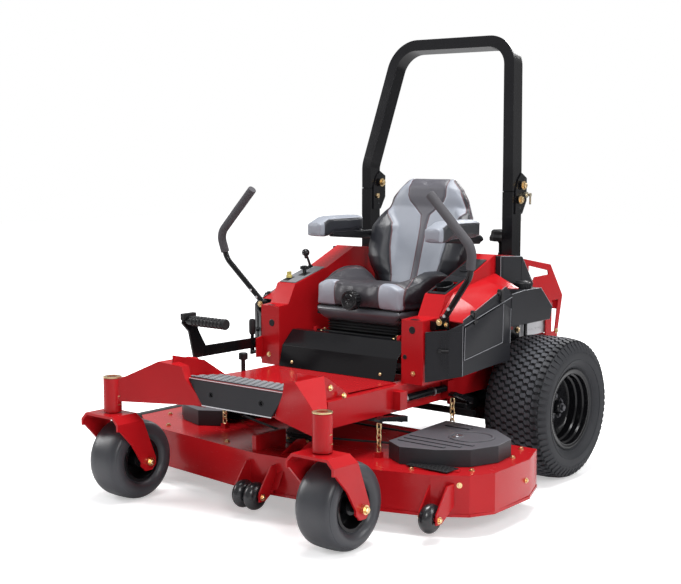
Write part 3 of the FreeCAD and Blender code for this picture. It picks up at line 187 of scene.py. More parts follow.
def block(form, x0, x1, y0, y1, z0, z1):
    size = Matrix.Diagonal((x1 - x0, y1 - y0, z1 - z0, 1))
    place = Matrix.Translation(((x0 + x1) / 2, (y0 + y1) / 2, (z0 + z1) / 2))
    bmesh.ops.create_cube(form, size=1, matrix=place @ size)


def rounded(form, width, segments=2, limit=30):
    # bevel every fold sharper than the limit
    bmesh.ops.remove_doubles(form, verts=form.verts, dist=0.00001)
    bmesh.ops.recalc_face_normals(form, faces=form.faces)
    folds = [edge for edge in form.edges if edge.calc_face_angle(0) > math.radians(limit)]
    bmesh.ops.bevel(form, geom=folds, offset=width, offset_type="OFFSET", segments=segments, profile=0.5,
                    affect="EDGES", clamp_overlap=True, material=-1)


def turned(form, profile, centre, axis, steps=48, closed=False):
    # a profile of (radius, distance along the axis) spun once round it
    centre, axis = Vector(centre), Vector(axis).normalized()
    out = axis.orthogonal().normalized()
    points = [form.verts.new(centre + axis * along + out * radius) for radius, along in profile]
    edges = [form.edges.new(pair) for pair in zip(points, points[1:])]
    if closed:
        edges.append(form.edges.new((points[-1], points[0])))
    bmesh.ops.spin(form, geom=points + edges, cent=centre, axis=axis, angle=math.tau, steps=steps, use_merge=True)


def bar(form, start, end, radius, sides=16, tip=None):
    start, end = Vector(start), Vector(end)
    turn = Vector((0, 0, 1)).rotation_difference(end - start).to_matrix().to_4x4()
    bmesh.ops.create_cone(form, cap_ends=True, segments=sides, radius1=radius, radius2=tip or radius,
                          depth=(end - start).length, matrix=Matrix.Translation((start + end) / 2) @ turn)


def bolt(form, place, axis, across=0.008):
    # washer, hexagon head and the crown of the head
    place, axis = Vector(place), Vector(axis).normalized()
    bar(form, place, place + axis * across * 0.25, across * 1.45, 20)
    bar(form, place + axis * across * 0.2, place + axis * across * 0.95, across, 6)
    bar(form, place + axis * across * 0.95, place + axis * across * 1.1, across * 0.86, 6, across * 0.7)


def both(form):
    # the same parts again on the other side of the centre plane
    twin = bmesh.ops.duplicate(form, geom=form.verts[:] + form.edges[:] + form.faces[:])
    flipped = [part for part in twin["geom"] if isinstance(part, bmesh.types.BMVert)]
    bmesh.ops.scale(form, vec=(-1, 1, 1), verts=flipped)


def finished(name, form, material, body, crease=35):
    # closes the mesh, points its faces outwards and hands it to the body that carries it
    bmesh.ops.remove_doubles(form, verts=form.verts, dist=0.00001)
    bmesh.ops.recalc_face_normals(form, faces=form.faces)
    mesh = bpy.data.meshes.new(name)
    form.to_mesh(mesh)
    form.free()
    mesh.materials.append(material)
    mesh.polygons.foreach_set("use_smooth", [True] * len(mesh.polygons))
    mesh.set_sharp_from_angle(angle=math.radians(crease))
    piece = bpy.data.objects.new(name, mesh)
    bpy.context.scene.collection.objects.link(piece)
    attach(piece, body)
    return piece


red_enamel = coating("red_enamel", (0.45, 0.009, 0.013), (0.36, 0.007, 0.010), 0.20, 900, 0.00005, shine=0.24)
for node in ("main_frame", "front_carrier", "consoles", "engine_guard", "caster_fork_left", "caster_fork_right"):
    eased(node, red_enamel)
eased("deck_shell", red_enamel, width=0.004, segments=3)


# ---------------------------------------------------------------- black painted steel
# Roll bar, kick panel, struts and lift shafts are gloss black powder coat with a slight ripple.

black_enamel = coating("black_enamel", (0.004, 0.004, 0.005), (0.007, 0.007, 0.008), 0.16, 700, 0.00006, shine=0.26)
for node in ("kick_panel", "side_struts", "front_lift_shaft", "rear_lift_shaft", "lever_tube_left", "lever_tube_right",
             "drive_rim_left", "drive_rim_right", "caster_rim_left", "caster_rim_right", "brake_lever", "seat_frame",
             "hydro_drives"):
    eased(node, black_enamel)
eased("rops_posts", black_enamel, width=0.003, segments=3)
eased("rops_hoop", black_enamel, width=0.006, segments=3, limit=50)


# ---------------------------------------------------------------- zinc hardware
# Bolts, nuts and pins are steel under yellow zinc plate; washers and clevis pins are plain bright zinc.

yellow_zinc = coating("yellow_zinc", (0.80, 0.58, 0.26), (0.66, 0.50, 0.33), 0.28, 500, 0.0001, metallic=1.0)
bright_zinc = coating("bright_zinc", (0.72, 0.72, 0.74), (0.58, 0.58, 0.60), 0.3, 500, 0.0001, metallic=1.0)

hardware = bmesh.new()
for place, axis, across in (
        ((0.351, -0.768, 0.398), (1, 0, 0), 0.011), ((0.351, -0.448, 0.420), (1, 0, 0), 0.011),
        ((0.336, -1.080, 0.470), (1, 0, 0), 0.008), ((0.318, -1.135, 0.505), (1, 0, 0), 0.008),
        ((0.231, -0.7205, 0.488), (0, -1, 0.2), 0.007), ((0.376, -0.7055, 0.505), (0, -1, 0), 0.007),
        ((0.352, 0.0, 1.154), (-1, 0, 0), 0.012), ((0.4155, 0.0, 1.154), (1, 0, 0), 0.012),
        ((0.402, 0.010, 0.600), (1, 0, 0), 0.009), ((0.402, 0.010, 0.760), (1, 0, 0), 0.009),
        ((0.401, 0.340, 0.560), (1, 0, 0), 0.008), ((0.401, 0.330, 0.510), (1, 0, 0), 0.008)):
    bolt(hardware, place, axis, across)
both(hardware)
finished("frame_bolts", hardware, yellow_zinc, "chassis")

hinge_bolts = bmesh.new()
bolt(hinge_bolts, (0.4165, 0.020, 1.214), (1, 0, 0), 0.013)
bolt(hinge_bolts, (0.3355, 0.020, 1.214), (-1, 0, 0), 0.013)
both(hinge_bolts)
finished("hinge_bolts", hinge_bolts, yellow_zinc, "chassis")


# ---------------------------------------------------------------- drive wheels
# Wide turf tyres: a carcass with nine staggered rows of wavy blocks and a ring of shoulder blocks, moulded in one
# black rubber. They sit on deep steel rims, stepped inwards in rings, black enamelled, with five nuts on the hub.

turf_rubber = coating("turf_rubber", (0.030, 0.031, 0.035), (0.022, 0.023, 0.026), 0.55, 240, 0.0004, shine=0.18)
tree = turf_rubber.node_tree
paint = tree.nodes["Principled BSDF"].inputs["Base Color"]
spot = next(node for node in tree.nodes if node.type == "TEX_COORD").outputs["Object"]
# the outer faces of the tread blocks are coloured a paler grey than the grooves and flanks
split = shaded(tree, "SeparateXYZ", {0: spot})
joined = shaded(tree, "CombineXYZ", {"Y": split["Y"], "Z": split["Z"]})[0]
reach = shaded(tree, "VectorMath", {0: joined, 1: (0, 0, 0.294)}, operation="DISTANCE")["Value"]
crown = shaded(tree, "MapRange", {"Value": reach, "From Min": 0.2865, "From Max": 0.2935})[0]
paler_crown = shaded(tree, "Mix", {"Factor": crown, "A": paint.links[0].from_socket, "B": (0.075, 0.078, 0.088, 1)},
              data_type="RGBA")["Result"]
tree.links.new(paler_crown, paint)


def crown_radius(x):
    # the tread's height over the wheel's middle plane, flat in the centre and falling at the shoulders
    steps = [(0, 0.294), (0.060, 0.2938), (0.100, 0.2895), (0.122, 0.283), (0.135, 0.271), (0.145, 0.246)]
    for (a, high), (b, low) in zip(steps, steps[1:]):
        if abs(x) <= b:
            return high + (low - high) * (abs(x) - a) / (b - a)
    return steps[-1][1]


def tread_block(form, x, outline, lead):
    # one block, standing on the carcass and narrowing a little towards its top
    base = [form.verts.new((x + a, b, crown_radius(x + a) - 0.0125)) for a, b in outline]
    face = form.faces.new(base)
    grown = bmesh.ops.extrude_face_region(form, geom=[face])
    for part in grown["geom"]:
        if isinstance(part, bmesh.types.BMVert):
            a, b = (part.co.x - x) * 0.9, part.co.y * 0.9
            part.co = (x + a, b, crown_radius(x + a))
    fresh = [vert for vert in form.verts if not vert.tag]
    bmesh.ops.rotate(form, verts=fresh, cent=(0, 0, 0), matrix=Matrix.Rotation(lead, 3, "X"))
    for vert in fresh:
        vert.tag = True


dull_zinc = coating("dull_zinc", (0.10, 0.10, 0.11), (0.06, 0.06, 0.065), 0.42, 400, 0.0002, metallic=0.8)
wave = [(-0.0130, -0.0045), (-0.0068, -0.0115), (0.0038, -0.0085), (0.0122, -0.0115), (0.0145, -0.0022),
        (0.0130, 0.0045), (0.0068, 0.0115), (-0.0038, 0.0085), (-0.0122, 0.0115), (-0.0145, 0.0022)]
shoulder = [(-0.009, -0.0100), (0.011, -0.0075), (0.011, 0.0075), (-0.009, 0.0100)]
around = 60

for side, hand in ((1, "left"), (-1, "right")):
    tread = bmesh.new()
    for row in range(9):
        tread_block(tread, (row - 4) * 0.0268, wave, row % 2 * math.pi / around)
    tread_block(tread, 0.1330, shoulder, math.pi / around)
    tread_block(tread, -0.1330, [(-a, b) for a, b in shoulder[::-1]], math.pi / around)
    bmesh.ops.spin(tread, geom=tread.verts[:] + tread.edges[:] + tread.faces[:], cent=(0, 0, 0), axis=(1, 0, 0),
                   angle=math.tau * (around - 1) / around, steps=around - 1, use_duplicate=True, use_merge=False)
    flank_profile = [(0.1535, 0.100), (0.168, 0.113), (0.174, 0.121), (0.1755, 0.124), (0.178, 0.1235),
                     (0.190, 0.134), (0.204, 0.1405), (0.2045, 0.1425), (0.2085, 0.1435), (0.209, 0.1420),
                     (0.226, 0.1440), (0.242, 0.1425), (0.2425, 0.1440), (0.246, 0.1430), (0.258, 0.1365),
                     (0.269, 0.127), (0.277, 0.112), (0.2825, 0.086), (0.285, 0.050), (0.2855, 0)]
    turned(tread, [(radius, -along) for radius, along in flank_profile] +
           [(radius, along) for radius, along in flank_profile[-2::-1]], (0, 0, 0), (1, 0, 0), 96, closed=True)
    bmesh.ops.translate(tread, verts=tread.verts, vec=(0.555 * side, 0, 0.294))
    tyre = finished("turf_tyre_" + hand, tread, turf_rubber, "drive_wheel_" + hand, crease=28)
    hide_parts("drive_tyre_" + hand)

    rim = bmesh.new()
    turned(rim, [(0.1660, 0.1175), (0.1640, 0.1200), (0.1520, 0.1190), (0.1465, 0.1150), (0.1462, 0.098),
                 (0.1395, 0.093), (0.1390, 0.070), (0.1320, 0.065), (0.1315, 0.036), (0.1200, 0.029),
                 (0.0720, 0.0285), (0.0700, 0.0225), (0.1340, 0.0225), (0.1455, 0.060), (0.1465, 0.110),
                 (0.1640, 0.1165)], (0, 0, 0), (side, 0, 0), 96, closed=True)
    turned(rim, [(0.0, 0.074), (0.020, 0.074), (0.026, 0.068), (0.028, 0.045), (0.062, 0.042), (0.066, 0.036),
                 (0.066, 0.020), (0.0, 0.020)], (0, 0, 0), (side, 0, 0), 48)
    bmesh.ops.translate(rim, verts=rim.verts, vec=(0.555 * side, 0, 0.294))
    rings = finished("rim_rings_" + hand, rim, black_enamel, "drive_wheel_" + hand, crease=40)

    nuts = bmesh.new()
    for i in range(5):
        angle = math.tau * i / 5
        bolt(nuts, (0.555 * side + 0.0415 * side, 0.046 * math.sin(angle), 0.294 + 0.046 * math.cos(angle)),
             (side, 0, 0), 0.010)
    bolt(nuts, (0.555 * side + 0.073 * side, 0, 0.294), (side, 0, 0), 0.014)
    finished("wheel_nuts_" + hand, nuts, dull_zinc, "drive_wheel_" + hand)


# ---------------------------------------------------------------- caster wheels and forks
# Smooth puncture-proof tyres of grey-black rubber with a moulded crease on each shoulder, held in red forks by a
# yellow zinc axle bolt. The fork stem runs up through the sleeve under a zinc bearing cap.

slick_rubber = coating("slick_rubber", (0.032, 0.033, 0.038), (0.050, 0.052, 0.060), 0.36, 320, 0.0003, shine=0.42)

for side, hand in ((1, "left"), (-1, "right")):
    flank_profile = [(0.0779, 0.0600), (0.090, 0.0628), (0.0945, 0.0700), (0.103, 0.0785), (0.113, 0.0818),
                     (0.124, 0.0818), (0.133, 0.0792), (0.1395, 0.0760), (0.1400, 0.0738), (0.1430, 0.0722),
                     (0.1480, 0.0672), (0.1525, 0.0590), (0.1552, 0.0470), (0.1566, 0.0280), (0.1570, 0)]
    smooth = bmesh.new()
    turned(smooth, [(radius, -along) for radius, along in flank_profile] +
           [(radius, along) for radius, along in flank_profile[-2::-1]], (0.532 * side, -1.347, 0.157), (1, 0, 0), 96,
           closed=True)
    tyre = finished("smooth_tyre_" + hand, smooth, slick_rubber, "caster_wheel_" + hand, crease=32)
    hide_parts("caster_tyre_" + hand)

    axle = bmesh.new()
    for end in (1, -1):
        out = 0.532 * side + 0.107 * end
        bar(axle, (out, -1.347, 0.157), (out + 0.0118 * end, -1.347, 0.157), 0.0165, 24)
        bolt(axle, (out + 0.0110 * end, -1.347, 0.157), (end, 0, 0), 0.0118)
    finished("axle_nuts_" + hand, axle, yellow_zinc, "caster_swivel_" + hand)

    cap = bmesh.new()
    turned(cap, [(0.0200, 0.4895), (0.0200, 0.4935), (0.0325, 0.4945), (0.0358, 0.4930), (0.0358, 0.4895)],
           (0.532 * side, -1.433, 0), (0, 0, 1), 40, closed=True)
    bar(cap, (0.532 * side + 0.0345, -1.433, 0.385), (0.532 * side + 0.0435, -1.433, 0.388), 0.0035, 10, 0.0022)
    bar(cap, (0.532 * side + 0.0345, -1.433, 0.418), (0.532 * side + 0.0410, -1.433, 0.420), 0.0035, 10, 0.0022)
    finished("sleeve_cap_" + hand, cap, yellow_zinc, "chassis")


# ---------------------------------------------------------------- anti-scalp rollers
# Egg-shaped rollers of glossy black nylon turn on through bolts in the red cheeks under the deck's lip.

roller_nylon = coating("roller_nylon", (0.010, 0.010, 0.012), (0.016, 0.016, 0.018), 0.24, 300, 0.0002, shine=0.5)
egg = [(0.0095, -0.0270), (0.0240, -0.0282), (0.0385, -0.0250), (0.0490, -0.0160), (0.0535, -0.0040),
       (0.0535, 0.0060), (0.0480, 0.0170), (0.0360, 0.0250), (0.0220, 0.0278), (0.0095, 0.0270)]
for name, x, y, twins in (("front_rollers", 0.030, -1.262, (-0.0289, 0.0289)),
                          ("corner_roller_left", 0.735, -1.092, (0,)),
                          ("corner_roller_right", -0.735, -1.168, (0,))):
    rollers = bmesh.new()
    for shift in twins:
        turned(rollers, egg, (x + shift, y, 0.085), (1, 0, 0), 64, closed=True)
    nylon = finished("nylon_" + name, rollers, roller_nylon, name, crease=50)
    subdivided = nylon.modifiers.new("round", "SUBSURF")
    subdivided.levels = subdivided.render_levels = 1
    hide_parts(name)

roller_bolts = bmesh.new()
for x, y, half in ((0.030, -1.262, 0.058), (0.735, -1.092, 0.030), (-0.735, -1.168, 0.030)):
    bolt(roller_bolts, (x + half + 0.009, y, 0.085), (1, 0, 0), 0.009)
    bolt(roller_bolts, (x - half - 0.009, y, 0.085), (-1, 0, 0), 0.009)
finished("roller_bolts", roller_bolts, yellow_zinc, "deck")


# ---------------------------------------------------------------- footrest
# A moulded rubber mat with staggered grip bars lies in the red tub, and a black rubber bumper with two bolt holes
# covers its front edge under the floor pan's red front flange, coloured a darker, duller red as painted shade.

tread_mat = coating("tread_mat", (0.020, 0.020, 0.023), (0.032, 0.032, 0.036), 0.55, 300, 0.0004)
bar_rubber = coating("bar_rubber", (0.34, 0.35, 0.37), (0.13, 0.135, 0.145), 0.42, 300, 0.0003)
eased("footrest_pads", tread_mat, width=0.002)
mat_fall = 0.1095
bars = bmesh.new()
for row in range(13):
    y = -1.2735 + row * 0.0138
    top = 0.5040 - mat_fall * (y + 1.291)
    for column in range(17):
        x = (column - 8) * 0.0330 + (0.0165 if row // 2 % 2 else 0.0)
        if abs(x) < 0.266:
            half = min(0.0100, 0.274 - abs(x))
            block(bars, x - half, x + half, y, y + 0.0072, top - 0.001, top + 0.0022)
rounded(bars, 0.0007, 1)
finished("mat_bars", bars, bar_rubber, "chassis")

# painted shade: the red enamel along the floor pan's front edge is coloured a darker, duller red
flange_shade_red = coating("flange_shade_red", (0.20, 0.025, 0.030), (0.15, 0.018, 0.022), 0.4, 400, 0.0002)
strip = bmesh.new()
block(strip, -0.243, 0.243, -1.3005, -1.2800, 0.4975, 0.5010)
rounded(strip, 0.001, 2)
finished("flange_shade_strip", strip, flange_shade_red, "chassis")

# pale grey: painted highlights along the bumper's lower edge and the top of the flange strip; the same material prints
# the throttle scale marks
pale_print_and_highlight = coating("pale_print_and_highlight", (0.62, 0.62, 0.64), (0.52, 0.52, 0.54), 0.35, 400, 0.0001)
edge = bmesh.new()
plate(edge, [(-0.1765, -1.3012, 0.4005), (0.1765, -1.3012, 0.4005), (0.1790, -1.3012, 0.4045),
             (-0.1790, -1.3012, 0.4045)], (0, 0.003, 0))
block(edge, -0.243, 0.243, -1.3012, -1.2990, 0.5000, 0.5016)
finished("bumper_edge_highlight", edge, pale_print_and_highlight, "chassis")

holes = bmesh.new()
for x in (0.128, -0.128):
    turned(holes, [(0.0115, 0), (0.0115, 0.0010), (0.0085, 0.0012), (0.0080, -0.006), (0.0, -0.006)],
           (x, -1.3010, 0.448), (0, -1, 0), 24)
finished("bumper_holes", holes, black_enamel, "chassis")


# ---------------------------------------------------------------- console posts and hoods
# Each console is a red sheet tower. The left hood holds a black moulded tray with a cup pocket; black discs in the
# holes of the posts and black strips over the slots in their tops are painted shade, and a black seal strip runs along
# the tray's inner edge.

black_plastic = coating("black_plastic", (0.008, 0.0085, 0.010), (0.013, 0.0135, 0.016), 0.36, 1400, 0.00012)
tray = bmesh.new()


def hood(y):
    # height of the left hood's top face at a distance along it
    return 0.798 + (y + 0.551) * 58 / 161 if y < -0.390 else 0.856 + (y + 0.390) * 80 / 190


def hood_plate(form, x0, x1, y0, y1, thick):
    plate(form, [(x0, y0, hood(y0) + 0.0006), (x1, y0, hood(y0) + 0.0006), (x1, y1, hood(y1) + 0.0006),
                 (x0, y1, hood(y1) + 0.0006)], (0, 0, thick))


for x0, x1, y0, y1 in ((0.325, 0.335, -0.546, -0.392), (0.404, 0.413, -0.546, -0.392), (0.335, 0.404, -0.546, -0.531),
                       (0.335, 0.404, -0.439, -0.392), (0.325, 0.413, -0.388, -0.250)):
    hood_plate(tray, x0, x1, y0, y1, 0.0035)
rounded(tray, 0.0012, 2)
turned(tray, [(0.0365, 0.012), (0.0345, 0.013), (0.0325, -0.030), (0.0, -0.032), (0.0, -0.034), (0.0345, -0.032)],
       (0.3695, -0.485, hood(-0.485)), (0, -0.3, 1), 40)
turned(tray, [(0.0330, 0.0), (0.0330, 0.005), (0.0290, 0.006), (0.0250, -0.002), (0.0, -0.003)],
       (0.369, -0.330, hood(-0.330) + 0.002), (0, -0.38, 1), 40)
finished("hood_tray", tray, black_plastic, "chassis")

# painted shade: black discs fill the open holes in the posts and thin black strips lie over the slots in their tops
hole_shade = bmesh.new()
for x, y, z, radius in ((0.336, -0.7052, 0.566, 0.007), (0.370, -0.7052, 0.674, 0.011),
                        (-0.360, -0.7052, 0.640, 0.011)):
    turned(hole_shade, [(radius * 1.35, 0), (radius * 1.3, 0.0012), (radius, 0.0014), (radius * 0.9, 0.0005), (0, 0.0004)],
           (x, y, z), (0, -1, 0), 24)
for side in (1, -1):
    block(hole_shade, 0.372 * side - 0.016, 0.372 * side + 0.016, -0.699, -0.676, 0.7122, 0.7140)
rounded(hole_shade, 0.0006, 1, limit=60)
finished("post_hole_shade", hole_shade, black_plastic, "chassis")


# ---------------------------------------------------------------- side covers
# The battery and fuse covers are moulded black plastic: a flat outer face with a raised panel, a slanted rear facet,
# a chamfer band along the top held by two rubber pulls, and a front facet with its own latch between two ribs. Pale
# lines along their corners and those of the tanks behind are painted highlights.

cover_plastic = coating("cover_plastic", (0.010, 0.0105, 0.013), (0.015, 0.0155, 0.019), 0.32, 1500, 0.00012)
eased("side_covers", cover_plastic, width=0.003, segments=3)
panels = bmesh.new()
plate(panels, [(0.5415, -0.6035, 0.6870), (0.5415, -0.6080, 0.5620), (0.5415, -0.3370, 0.6000),
               (0.5415, -0.3320, 0.7560)], (0.0060, 0, 0))
plate(panels, [(0.5475, -0.3320, 0.7560), (0.5475, -0.3370, 0.6000), (0.5425, -0.2720, 0.5900),
               (0.5425, -0.2690, 0.7300)], (-0.0080, 0, 0))
plate(panels, [(0.5415, -0.6090, 0.6980), (0.5475, -0.6090, 0.6940), (0.5475, -0.2700, 0.7755),
               (0.5340, -0.2700, 0.7985), (0.5340, -0.3000, 0.8190), (0.5340, -0.5980, 0.7140)], (-0.0010, 0, 0))
rounded(panels, 0.0016, 2)
# the front facet runs inwards from the corner, so its parts are drawn along it
along = (Vector((0.542, -0.612, 0)) - Vector((0.426, -0.697, 0))).normalized()
across = Vector((along.y, -along.x, 0))
foot = Vector((0.426, -0.697, 0)) + across * 0.0002
for near, far, low, high, deep in ((0.004, 0.050, 0.495, 0.664, 0.0022), (0.062, 0.066, 0.540, 0.655, 0.0032),
                                   (0.078, 0.082, 0.520, 0.665, 0.0032), (0.090, 0.138, 0.500, 0.672, 0.0022)):
    plate(panels, [foot + along * near + Vector((0, 0, low)), foot + along * far + Vector((0, 0, low)),
                   foot + along * far + Vector((0, 0, high)), foot + along * near + Vector((0, 0, high))],
          across * deep)
both(panels)
finished("cover_panels", panels, cover_plastic, "chassis", crease=25)

# painted highlights: thin pale bars laid along the edges of the covers and tanks
painted_edge_highlight = coating("painted_edge_highlight", (0.34, 0.35, 0.38), (0.22, 0.225, 0.24), 0.35, 600, 0.0001)
lines = bmesh.new()
for route in ([(0.5424, -0.6125, 0.500), (0.5424, -0.6125, 0.695)],
              [(0.5478, -0.609, 0.6955), (0.5478, -0.270, 0.7765)],
              [(0.5342, -0.598, 0.7145), (0.5342, -0.300, 0.8195)],
              [(0.5478, -0.6035, 0.6865), (0.5478, -0.608, 0.562), (0.5478, -0.337, 0.600), (0.5478, -0.332, 0.7555)],
              [(0.5427, -0.272, 0.590), (0.5427, -0.269, 0.730)],
              [(0.5448, -0.266, 0.7868), (0.5448, -0.170, 0.7948), (0.5448, -0.040, 0.7948), (0.5448, 0.056, 0.706)],
              [(0.4458, -0.197, 0.785), (0.4458, -0.197, 0.930), (0.4458, -0.030, 0.919), (0.4458, 0.061, 0.800)]):
    for start, end in zip(route, route[1:]):
        bar(lines, start, end, 0.0010, 8)
both(lines)
finished("cover_edge_highlights", lines, painted_edge_highlight, "chassis")

pull_rubber = coating("pull_rubber", (0.012, 0.012, 0.013), (0.020, 0.020, 0.022), 0.5, 500, 0.0002)
pulls = bmesh.new()
for y in (-0.535, -0.345):
    high = 0.714 + (y + 0.598) * 0.3525
    bar(pulls, (0.5400, y - 0.018, high - 0.010), (0.5400, y + 0.018, high + 0.003), 0.0072, 16)
    block(pulls, 0.5330, 0.5500, y - 0.007, y + 0.007, high - 0.040, high + 0.004)
    bar(pulls, (0.5480, y - 0.011, high - 0.039), (0.5480, y + 0.011, high - 0.031), 0.0058, 14)
    bar(pulls, (0.5340, y, high - 0.002), (0.5340, y, high + 0.010), 0.0090, 16, 0.0070)
spot_on = foot + along * 0.056 + Vector((0, 0, 0.598))
bar(pulls, spot_on, spot_on + across * 0.014, 0.0095, 20, 0.0075)
bar(pulls, spot_on + across * 0.008, spot_on + across * 0.008 + along * 0.034, 0.0062, 14)
both(pulls)
finished("cover_pulls", pulls, pull_rubber, "chassis")


# ---------------------------------------------------------------- fuel tanks
# Blow-moulded black tanks sit behind the side covers, with soft ridges where their faces meet and a ribbed cap.

tank_plastic = coating("tank_plastic", (0.012, 0.0125, 0.015), (0.018, 0.0185, 0.022), 0.30, 700, 0.0002)
eased("fuel_tanks", tank_plastic, width=0.006, segments=3)
eased("fuel_cap", black_plastic, width=0.002)
ribs = bmesh.new()
for i in range(24):
    angle = math.tau * i / 24
    spin = Matrix.Translation((0.495, -0.110, 0)) @ Matrix.Rotation(angle, 4, "Z")
    bmesh.ops.create_cube(ribs, size=1, matrix=spin @ Matrix.Translation((0.0362, 0, 0.806)) @
                          Matrix.Diagonal((0.003, 0.0045, 0.016, 1)))
turned(ribs, [(0.026, 0.8205), (0.026, 0.8240), (0.023, 0.8255), (0.006, 0.8250), (0, 0.8235)],
       (0.495, -0.110, 0), (0, 0, 1), 36)
finished("cap_ribs", ribs, black_plastic, "fuel_cap")
seams = bmesh.new()
for y, low, high in ((-0.182, 0.800, 0.925), (-0.036, 0.790, 0.912)):
    plate(seams, [(0.4458, y, low), (0.4458, y + 0.004, low), (0.4458, y + 0.004, high), (0.4458, y, high)],
          (0.0012, 0, 0))
both(seams)
finished("tank_seams", seams, tank_plastic, "chassis")


# ---------------------------------------------------------------- engine bay
# A horizontal-shroud engine stands on the frame plate behind the seat: finned cylinder heads at both sides, a round
# screen over the fan, a muffler, and an air cleaner with a faceted black dome. A pale heat shield hangs inside the
# red guard.

cast_grey = coating("cast_grey", (0.20, 0.20, 0.21), (0.15, 0.15, 0.16), 0.5, 260, 0.0005, metallic=0.6)
shroud_black = coating("shroud_black", (0.014, 0.014, 0.015), (0.022, 0.022, 0.024), 0.42, 400, 0.0003)
eased("engine", shroud_black, width=0.004, segments=3)
eased("air_cleaner", shroud_black, width=0.003, segments=3)

fins = bmesh.new()
for i in range(9):
    z = 0.508 + i * 0.0135
    block(fins, 0.150, 0.2395, 0.116, 0.254, z, z + 0.004)
block(fins, 0.2350, 0.2440, 0.135, 0.235, 0.520, 0.605)
rounded(fins, 0.0012, 1)
for y, z in ((0.146, 0.530), (0.146, 0.595), (0.224, 0.530), (0.224, 0.595)):
    bolt(fins, (0.2440, y, z), (1, 0, 0), 0.0055)
both(fins)
finished("cylinder_fins", fins, cast_grey, "chassis")

screen = bmesh.new()
turned(screen, [(0.030, 0.7890), (0.030, 0.7945), (0.104, 0.7945), (0.112, 0.7900), (0.112, 0.7880)],
       (0, 0.200, 0), (0, 0, 1), 64)
for i in range(36):
    angle = math.tau * i / 36
    spin = Matrix.Translation((0, 0.200, 0.7955)) @ Matrix.Rotation(angle, 4, "Z")
    bmesh.ops.create_cube(screen, size=1, matrix=spin @ Matrix.Translation((0.066, 0, 0)) @
                          Matrix.Diagonal((0.066, 0.0035, 0.003, 1)))
turned(screen, [(0.0, 0.8010), (0.018, 0.8010), (0.026, 0.7980), (0.030, 0.7900)], (0, 0.200, 0), (0, 0, 1), 40)
for z in (0.700, 0.745):
    turned(screen, [(0.1455, z), (0.1485, z + 0.003), (0.1485, z + 0.012), (0.1455, z + 0.015)], (0, 0.200, 0),
           (0, 0, 1), 64)
finished("fan_screen", screen, shroud_black, "chassis")

exhaust = coating("exhaust", (0.24, 0.22, 0.20), (0.15, 0.12, 0.10), 0.55, 300, 0.0004, metallic=0.85)
muffler = bmesh.new()
turned(muffler, [(0.0485, 0.500), (0.0500, 0.503), (0.0500, 0.509), (0.0488, 0.512), (0.0488, 0.655), (0.0500, 0.658),
                 (0.0500, 0.664), (0.0485, 0.667)], (-0.288, 0.285, 0), (0, 0, 1), 48)
for z in (0.540, 0.620):
    turned(muffler, [(0.0486, z), (0.0498, z + 0.001), (0.0498, z + 0.011), (0.0486, z + 0.012)],
           (-0.288, 0.285, 0), (0, 0, 1), 48)
finished("muffler_wrap", muffler, exhaust, "chassis")

dome = bmesh.new()
turned(dome, [(0.0600, 0.9705), (0.0645, 0.9740), (0.0650, 0.9880), (0.0585, 1.0000), (0.0570, 1.0130),
              (0.0500, 1.0195), (0.0, 1.0215)], (0.285, 0.082, 0), (0, 0, 1), 12)
turned(dome, [(0.0235, 0.9050), (0.0260, 0.9080), (0.0260, 0.9180), (0.0232, 0.9210), (0.0232, 0.9600),
              (0.0300, 0.9710)], (0.285, 0.082, 0), (0, 0, 1), 32)
for z in (0.630, 0.760, 0.885):
    turned(dome, [(0.0482, z), (0.0505, z + 0.002), (0.0505, z + 0.010), (0.0482, z + 0.012)],
           (0.285, 0.082, 0), (0, 0, 1), 48)
finished("cleaner_dome", dome, shroud_black, "chassis", crease=18)

hose_rubber = coating("hose_rubber", (0.016, 0.016, 0.017), (0.024, 0.024, 0.026), 0.5, 260, 0.0004)


def bent_pipe(name, route, radius, material, body, order=3):
    # a rigid moulded pipe along a smooth line
    line = bpy.data.curves.new(name, "CURVE")
    line.dimensions = "3D"
    line.bevel_depth = radius
    line.bevel_resolution = 5
    line.use_fill_caps = True
    spline = line.splines.new("NURBS")
    spline.points.add(len(route) - 1)
    for point, place in zip(spline.points, route):
        point.co = (*place, 1)
    spline.order_u = order
    spline.use_endpoint_u = True
    spline.resolution_u = 8
    line.materials.append(material)
    pipe = bpy.data.objects.new(name, line)
    bpy.context.scene.collection.objects.link(pipe)
    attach(pipe, body)
    return pipe


bent_pipe("intake_elbow", [(0.285, 0.120, 0.840), (0.285, 0.180, 0.850), (0.240, 0.215, 0.845), (0.150, 0.215, 0.800),
                           (0.110, 0.215, 0.760)], 0.030, hose_rubber, "chassis")
bent_pipe("cleaner_elbow", [(0.285, 0.060, 0.800), (0.260, 0.020, 0.870), (0.200, 0.010, 0.900),
                            (0.130, 0.050, 0.860), (0.100, 0.110, 0.780)], 0.024, hose_rubber, "chassis")
bent_pipe("tail_pipe", [(-0.288, 0.285, 0.700), (-0.288, 0.285, 0.735), (-0.288, 0.310, 0.755),
                        (-0.288, 0.350, 0.765)], 0.0185, exhaust, "chassis")

shield_zinc = coating("shield_zinc", (0.66, 0.66, 0.68), (0.55, 0.55, 0.57), 0.38, 260, 0.0003, metallic=0.35)
shield = bmesh.new()
plate(shield, [(0.385, 0.045, 0.560), (0.385, 0.325, 0.560), (0.385, 0.325, 0.690), (0.385, 0.045, 0.690)],
      (0.002, 0, 0))
for row in range(4):
    for column in range(9):
        y, z = 0.070 + column * 0.028, 0.585 + row * 0.026
        block(shield, 0.3868, 0.3885, y, y + 0.018, z, z + 0.005)
rounded(shield, 0.0006, 1)
finished("heat_shield", shield, shield_zinc, "chassis")

